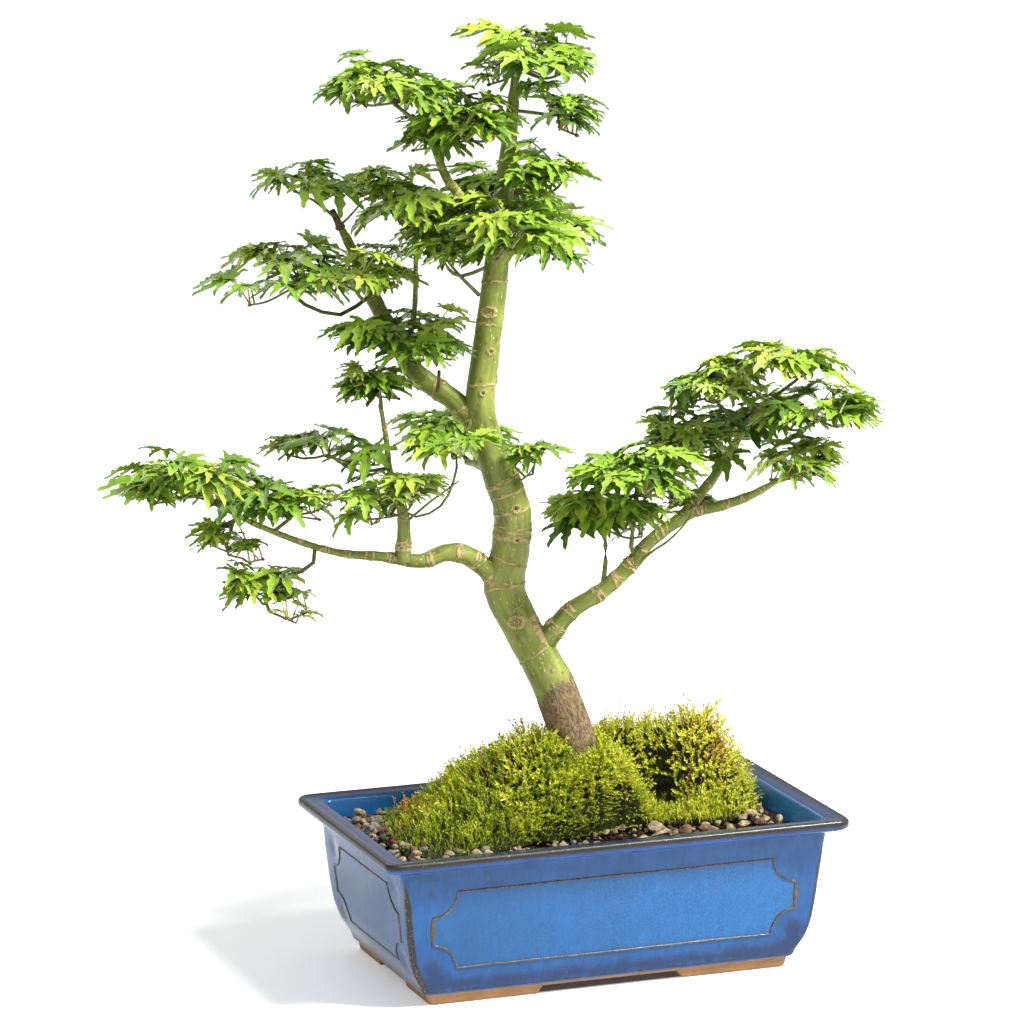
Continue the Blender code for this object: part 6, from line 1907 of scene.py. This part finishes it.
PRUNED_STUBS = (           # (foot, end, radius)
    ((-0.1478, 0.0842, 0.5425), (-0.1552, 0.0828, 0.5562), 0.0024),
    ((-0.0894, 0.0400, 0.4260), (-0.0925, 0.0290, 0.4429), 0.0013),
    ((-0.1170, 0.0760, 0.4760), (-0.1105, 0.0840, 0.4800), 0.0017),
    ((0.0900, -0.0060, 0.3320), (0.0930, -0.0110, 0.3395), 0.0014),
)
SIDE_TWIGS = (             # (points, radius at the foot)
    (((0.0474, 0.0002, 0.2897), (0.0574, -0.0100, 0.3045), (0.0682, -0.0183, 0.3143),
      (0.0790, -0.0245, 0.3275), (0.0860, -0.0270, 0.3400)), 0.0013),
    (((-0.1494, 0.0913, 0.5410), (-0.1417, 0.0842, 0.5505), (-0.1342, 0.0770, 0.5620)), 0.0011),
    (((-0.0592, 0.0352, 0.4958), (-0.0755, 0.0307, 0.5114), (-0.0877, 0.0289, 0.5255)), 0.0016),
    (((-0.0413, 0.0148, 0.3570), (-0.0355, -0.0045, 0.3691), (-0.0321, -0.0100, 0.3802)), 0.0010),
    (((-0.1205, 0.0274, 0.3321), (-0.1048, 0.0151, 0.3496), (-0.0865, 0.0039, 0.3660)), 0.0012),
)


class BONSAI_OT_bark(bpy.types.Operator):
    """Clothe the trunk and each bough in bark, and add the pruned stubs"""
    bl_idname = "bonsai.make_bark"
    bl_label = "Trunk and Boughs"

    def execute(self, context):
        bark = context.scene.bonsai_bark
        old = bark_material("trunk_bark", bark, 1.0)
        young = bark_material("bough_bark", bark, 0.7)
        for name in LIMBS:
            whole = name == "trunk"
            spacing, sides = (bark.spacing, bark.around) if whole else (0.0010, 36)
            vertices, faces, values = bark_skin(name, spacing, sides)
            add_piece(name + "_bark", "bark", [name], vertices, faces, [old if whole else young],
                      values=values)
        stubs = joined([stub_skin(*row) for row in PRUNED_STUBS])
        add_piece("pruned_stubs", "bark", [], *stubs, [cut_wood_material()])
        return {"FINISHED"}


class BONSAI_OT_foliage(bpy.types.Operator):
    """Grow the twigs, stalks, leaves and buds of every foliage mass"""
    bl_idname = "bonsai.make_foliage"
    bl_label = "Foliage"

    def execute(self, context):
        foliage = context.scene.bonsai_foliage
        templates = [leaf_template(np.random.default_rng(60 + k)) for k in range(LEAF_TEMPLATES)]
        greens = [leaf_material("leaf_" + name, getattr(foliage, name), foliage)
                  for name in ("lime", "bright", "middle", "deep", "dark")]
        twig_lines, twig_radii, stalks, buds = [], [], [], []
        for group, rows in LEAF_GROUPS.items():
            leaves, names = [], ["foliage_" + name for name in rows]
            for name in names:
                rng = random.Random(name + " foliage")
                item, space = MASSES[name], Space(name)
                spread = foliage.tip_spread * item.closer
                nodes, tips = grow_twigs(item, space, stem_route(item), rng, spread)
                grow_shoots(nodes, tips, space, rng)
                leaves += grow_leaves(item, nodes, tips, space, rng, foliage)
                load = twig_loads(nodes, tips)
                for chain in twig_chains(nodes, load):
                    line, radii = twig_line(nodes, load, chain)
                    twig_lines.append(line)
                    twig_radii.append(radii)
                for tip in tips:
                    end, parent = nodes[tip]
                    buds.append((end, unit(np.array(end) - nodes[parent][0]), rng.random()))
            if not leaves:
                raise RuntimeError(f"{group} grew no leaves")
            vertices, faces, owners, across = leaf_meshes(leaves, templates)
            rng = np.random.default_rng(len(leaves))
            spray = np.array([leaf.kind[0] for leaf in leaves])
            height = np.array([leaf.kind[1] for leaf in leaves])
            # Painted light and shade: the tone rises with the leaf's height in its mass, so upper leaves
            # take the lighter greens; the spray and young leaves add real variation.
            tones = 0.75 * height + 1.5 * (spray - 0.5) + rng.normal(0, 0.22, len(leaves))
            kinds = 4 - np.digitize(tones, (-0.85, -0.30, 0.35, 0.92))
            add_piece("leaves_" + group, "foliage", names, vertices, faces, greens,
                      kinds=kinds[owners], values={"across": across})
            stalks.append(stalk_points(leaves))
        twig = twig_material("young_twig", colour("7d8d47"), colour("57522c"))
        for points, radius in SIDE_TWIGS:
            line = resampled(np.array(points), 9)
            twig_lines.append(line)
            twig_radii.append(np.linspace(radius, radius * 0.55, 9))
        vertices, walls, ends = thin_tubes(np.array(twig_lines), np.array(twig_radii), 6)
        add_piece("twigs", "bark", [], vertices, [walls, ends], [twig])
        lines = np.concatenate(stalks)
        radii = np.linspace(0.00076, 0.00048, lines.shape[1]) * np.ones((len(lines), 1))
        vertices, walls, ends = thin_tubes(lines, radii, 4)
        foot = np.tile(np.repeat(np.interp(np.arange(6), (0, 1, 2), (1.0, 0.6, 0.0)), 4), len(lines))
        pale = stalk_material(foliage)
        add_piece("leaf_stalks", "foliage", [], vertices, [np.vstack([walls, ends])], [pale],
                  values={"foot": foot})
        self.add_buds(buds)
        return {"FINISHED"}

    def add_buds(self, buds):
        """Buds at the twig tips: small pointed eggs of brown scales, and some pink ones."""
        chosen = [bud for bud in buds if bud[2] < 0.55]
        t = np.array((0.0, 0.2, 0.5, 0.8, 1.0))
        ends = np.array([bud[0] for bud in chosen])
        axes = np.array([bud[1] for bud in chosen])
        size = np.array([0.0026 + 0.0016 * bud[2] for bud in chosen])[:, None]
        lines = ends[:, None] + axes[:, None] * (t * size)[..., None] - axes[:, None] * 0.0006
        radii = size * np.array((0.26, 0.42, 0.40, 0.22, 0.04))
        vertices, walls, caps = thin_tubes(lines, radii, 6)
        pink = np.array([bud[2] < 0.10 for bud in chosen])
        kinds = np.concatenate([np.repeat(pink, len(walls) // len(chosen)), pink, pink])
        scales = twig_material("bud_scales", colour("8c4a2f"), colour("4f2a1c"))
        rosy = twig_material("bud_rosy", colour("c9575a"), colour("8f2f36"))
        add_piece("buds", "foliage", [], vertices, [walls, caps], [scales, rosy], kinds=kinds)


def resampled(points, rows):
    """The points of a smooth curve through a few places, evenly spaced along it."""
    fine = smooth_route(np.c_[points, np.zeros(len(points))], 0.0015)[:, :3]
    steps = arc_lengths(fine)
    at = np.linspace(0, steps[-1], rows)
    return np.stack([np.interp(at, steps, fine[:, k]) for k in range(3)], -1)


def twig_line(nodes, load, chain):
    """Centre line and radii of one unbranched twig: thicker the more tips it carries."""
    points = np.array([nodes[number][0] for number in chain])
    weights = [load[chain[1]]] + [load[number] for number in chain[1:]]
    radii = np.minimum(0.0021, 0.00042 + 0.00040 * np.sqrt(np.array(weights, float)))
    line = resampled(points, 9)
    return line, np.interp(np.linspace(0, 1, 9), np.linspace(0, 1, len(radii)), radii)


def stand(thing, right, up, back, place):
    """Puts a lamp or the camera at a place, with its own axes along right, up and back."""
    rows = np.column_stack([right, up, back, place]).tolist()
    thing.matrix_world = Matrix([*rows, (0.0, 0.0, 0.0, 1.0)])
    bpy.context.scene.collection.objects.link(thing)


class BONSAI_OT_stage(bpy.types.Operator):
    """Lay the pale floor, hang the soft lights and set up the camera"""
    bl_idname = "bonsai.set_stage"
    bl_label = "Floor, Light and Camera"

    def execute(self, context):
        stage = context.scene.bonsai_stage
        across = 24.0 * np.linspace(-1, 1, 25) ** 3
        x, y = np.meshgrid(across, across)
        vertices = np.stack([x, y, 0 * x], -1).reshape(-1, 3)
        mesh = bpy.data.meshes.new("floor")
        mesh.from_pydata(vertices.tolist(), [], grid_faces(25, 25, closed=False).tolist())
        mesh.materials.append(floor_material(stage))
        floor = bpy.data.objects.new("floor", mesh)
        context.scene.collection.objects.link(floor)
        self.light("key_light", (0.66, -0.58, 0.95), 2.6, 0.6, stage.key)
        self.light("fill_light", (-0.9, -0.75, 0.55), 2.8, 1.6, stage.key * 0.06)
        self.light("back_light", (-0.2, 1.0, 0.8), 2.8, 1.4, stage.key * 0.14)
        world = bpy.data.worlds.new("pale_surroundings")
        world.use_nodes = True
        sky = world.node_tree.nodes["Background"]
        sky.inputs["Color"].default_value = (0.98, 0.99, 1.0, 1.0)
        sky.inputs["Strength"].default_value = stage.sky
        context.scene.world = world
        context.scene.view_settings.view_transform = "Standard"
        data = bpy.data.cameras.new("camera")
        data.lens, data.sensor_width = stage.lens, 36.0
        data.clip_start, data.clip_end = 0.1, 100.0
        camera = bpy.data.objects.new("camera", data)
        up = np.array((0.07192183, 0.19033561, 0.97908100))
        back = np.array((-0.34608050, -0.91587548, 0.20347087))
        eye = POT_MIDDLE + back * 3.856 - VIEW_RIGHT * 0.0439 + up * 0.3304
        stand(camera, VIEW_RIGHT, up, back, eye)
        context.scene.camera = camera
        return {"FINISHED"}

    def light(self, name, direction, distance, size, power):
        data = bpy.data.lights.new(name, "AREA")
        data.size, data.energy = size, power
        lamp = bpy.data.objects.new(name, data)
        target = np.array((POT_MIDDLE[0] - 0.03, POT_MIDDLE[1], 0.32))
        away = unit(np.array(direction))
        side = unit(np.cross((0.0, 0.0, 1.0), away))
        stand(lamp, side, np.cross(away, side), away, target + away * distance)


class BONSAI_PT_pieces(bpy.types.Panel):
    """Pieces of the bonsai and their settings"""
    bl_idname = "BONSAI_PT_pieces"
    bl_label = "Potted Maple Bonsai"
    bl_space_type = "VIEW_3D"
    bl_region_type = "UI"
    bl_category = "Bonsai"

    def draw(self, context):
        for maker, name, settings in PIECES:
            box = self.layout.box()
            box.operator(maker.bl_idname)
            for key in settings.__annotations__:
                box.prop(getattr(context.scene, name), key)


PIECES = (
    (BONSAI_OT_pot, "bonsai_pot", BonsaiPot),
    (BONSAI_OT_bed, "bonsai_bed", BonsaiBed),
    (BONSAI_OT_moss, "bonsai_moss", BonsaiMoss),
    (BONSAI_OT_bark, "bonsai_bark", BonsaiBark),
    (BONSAI_OT_foliage, "bonsai_foliage", BonsaiFoliage),
    (BONSAI_OT_stage, "bonsai_stage", BonsaiStage),
)


def register():
    """Adds the settings, the operators and the panel."""
    for maker, name, settings in PIECES:
        bpy.utils.register_class(settings)
        setattr(bpy.types.Scene, name, bpy.props.PointerProperty(type=settings))
        bpy.utils.register_class(maker)
    bpy.utils.register_class(BONSAI_PT_pieces)


def unregister():
    """Takes them away again."""
    bpy.utils.unregister_class(BONSAI_PT_pieces)
    for maker, name, settings in reversed(PIECES):
        bpy.utils.unregister_class(maker)
        delattr(bpy.types.Scene, name)
        bpy.utils.unregister_class(settings)


def main():
    """Makes every piece, lays the stage and notes the sizes before and after."""
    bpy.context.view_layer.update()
    register()
    bpy.ops.bonsai.make_pot()
    bpy.ops.bonsai.make_bed()
    bpy.ops.bonsai.make_moss()
    bpy.ops.bonsai.make_bark()
    bpy.ops.bonsai.make_foliage()
    bpy.ops.bonsai.set_stage()


if __name__ == "__main__":
    main()
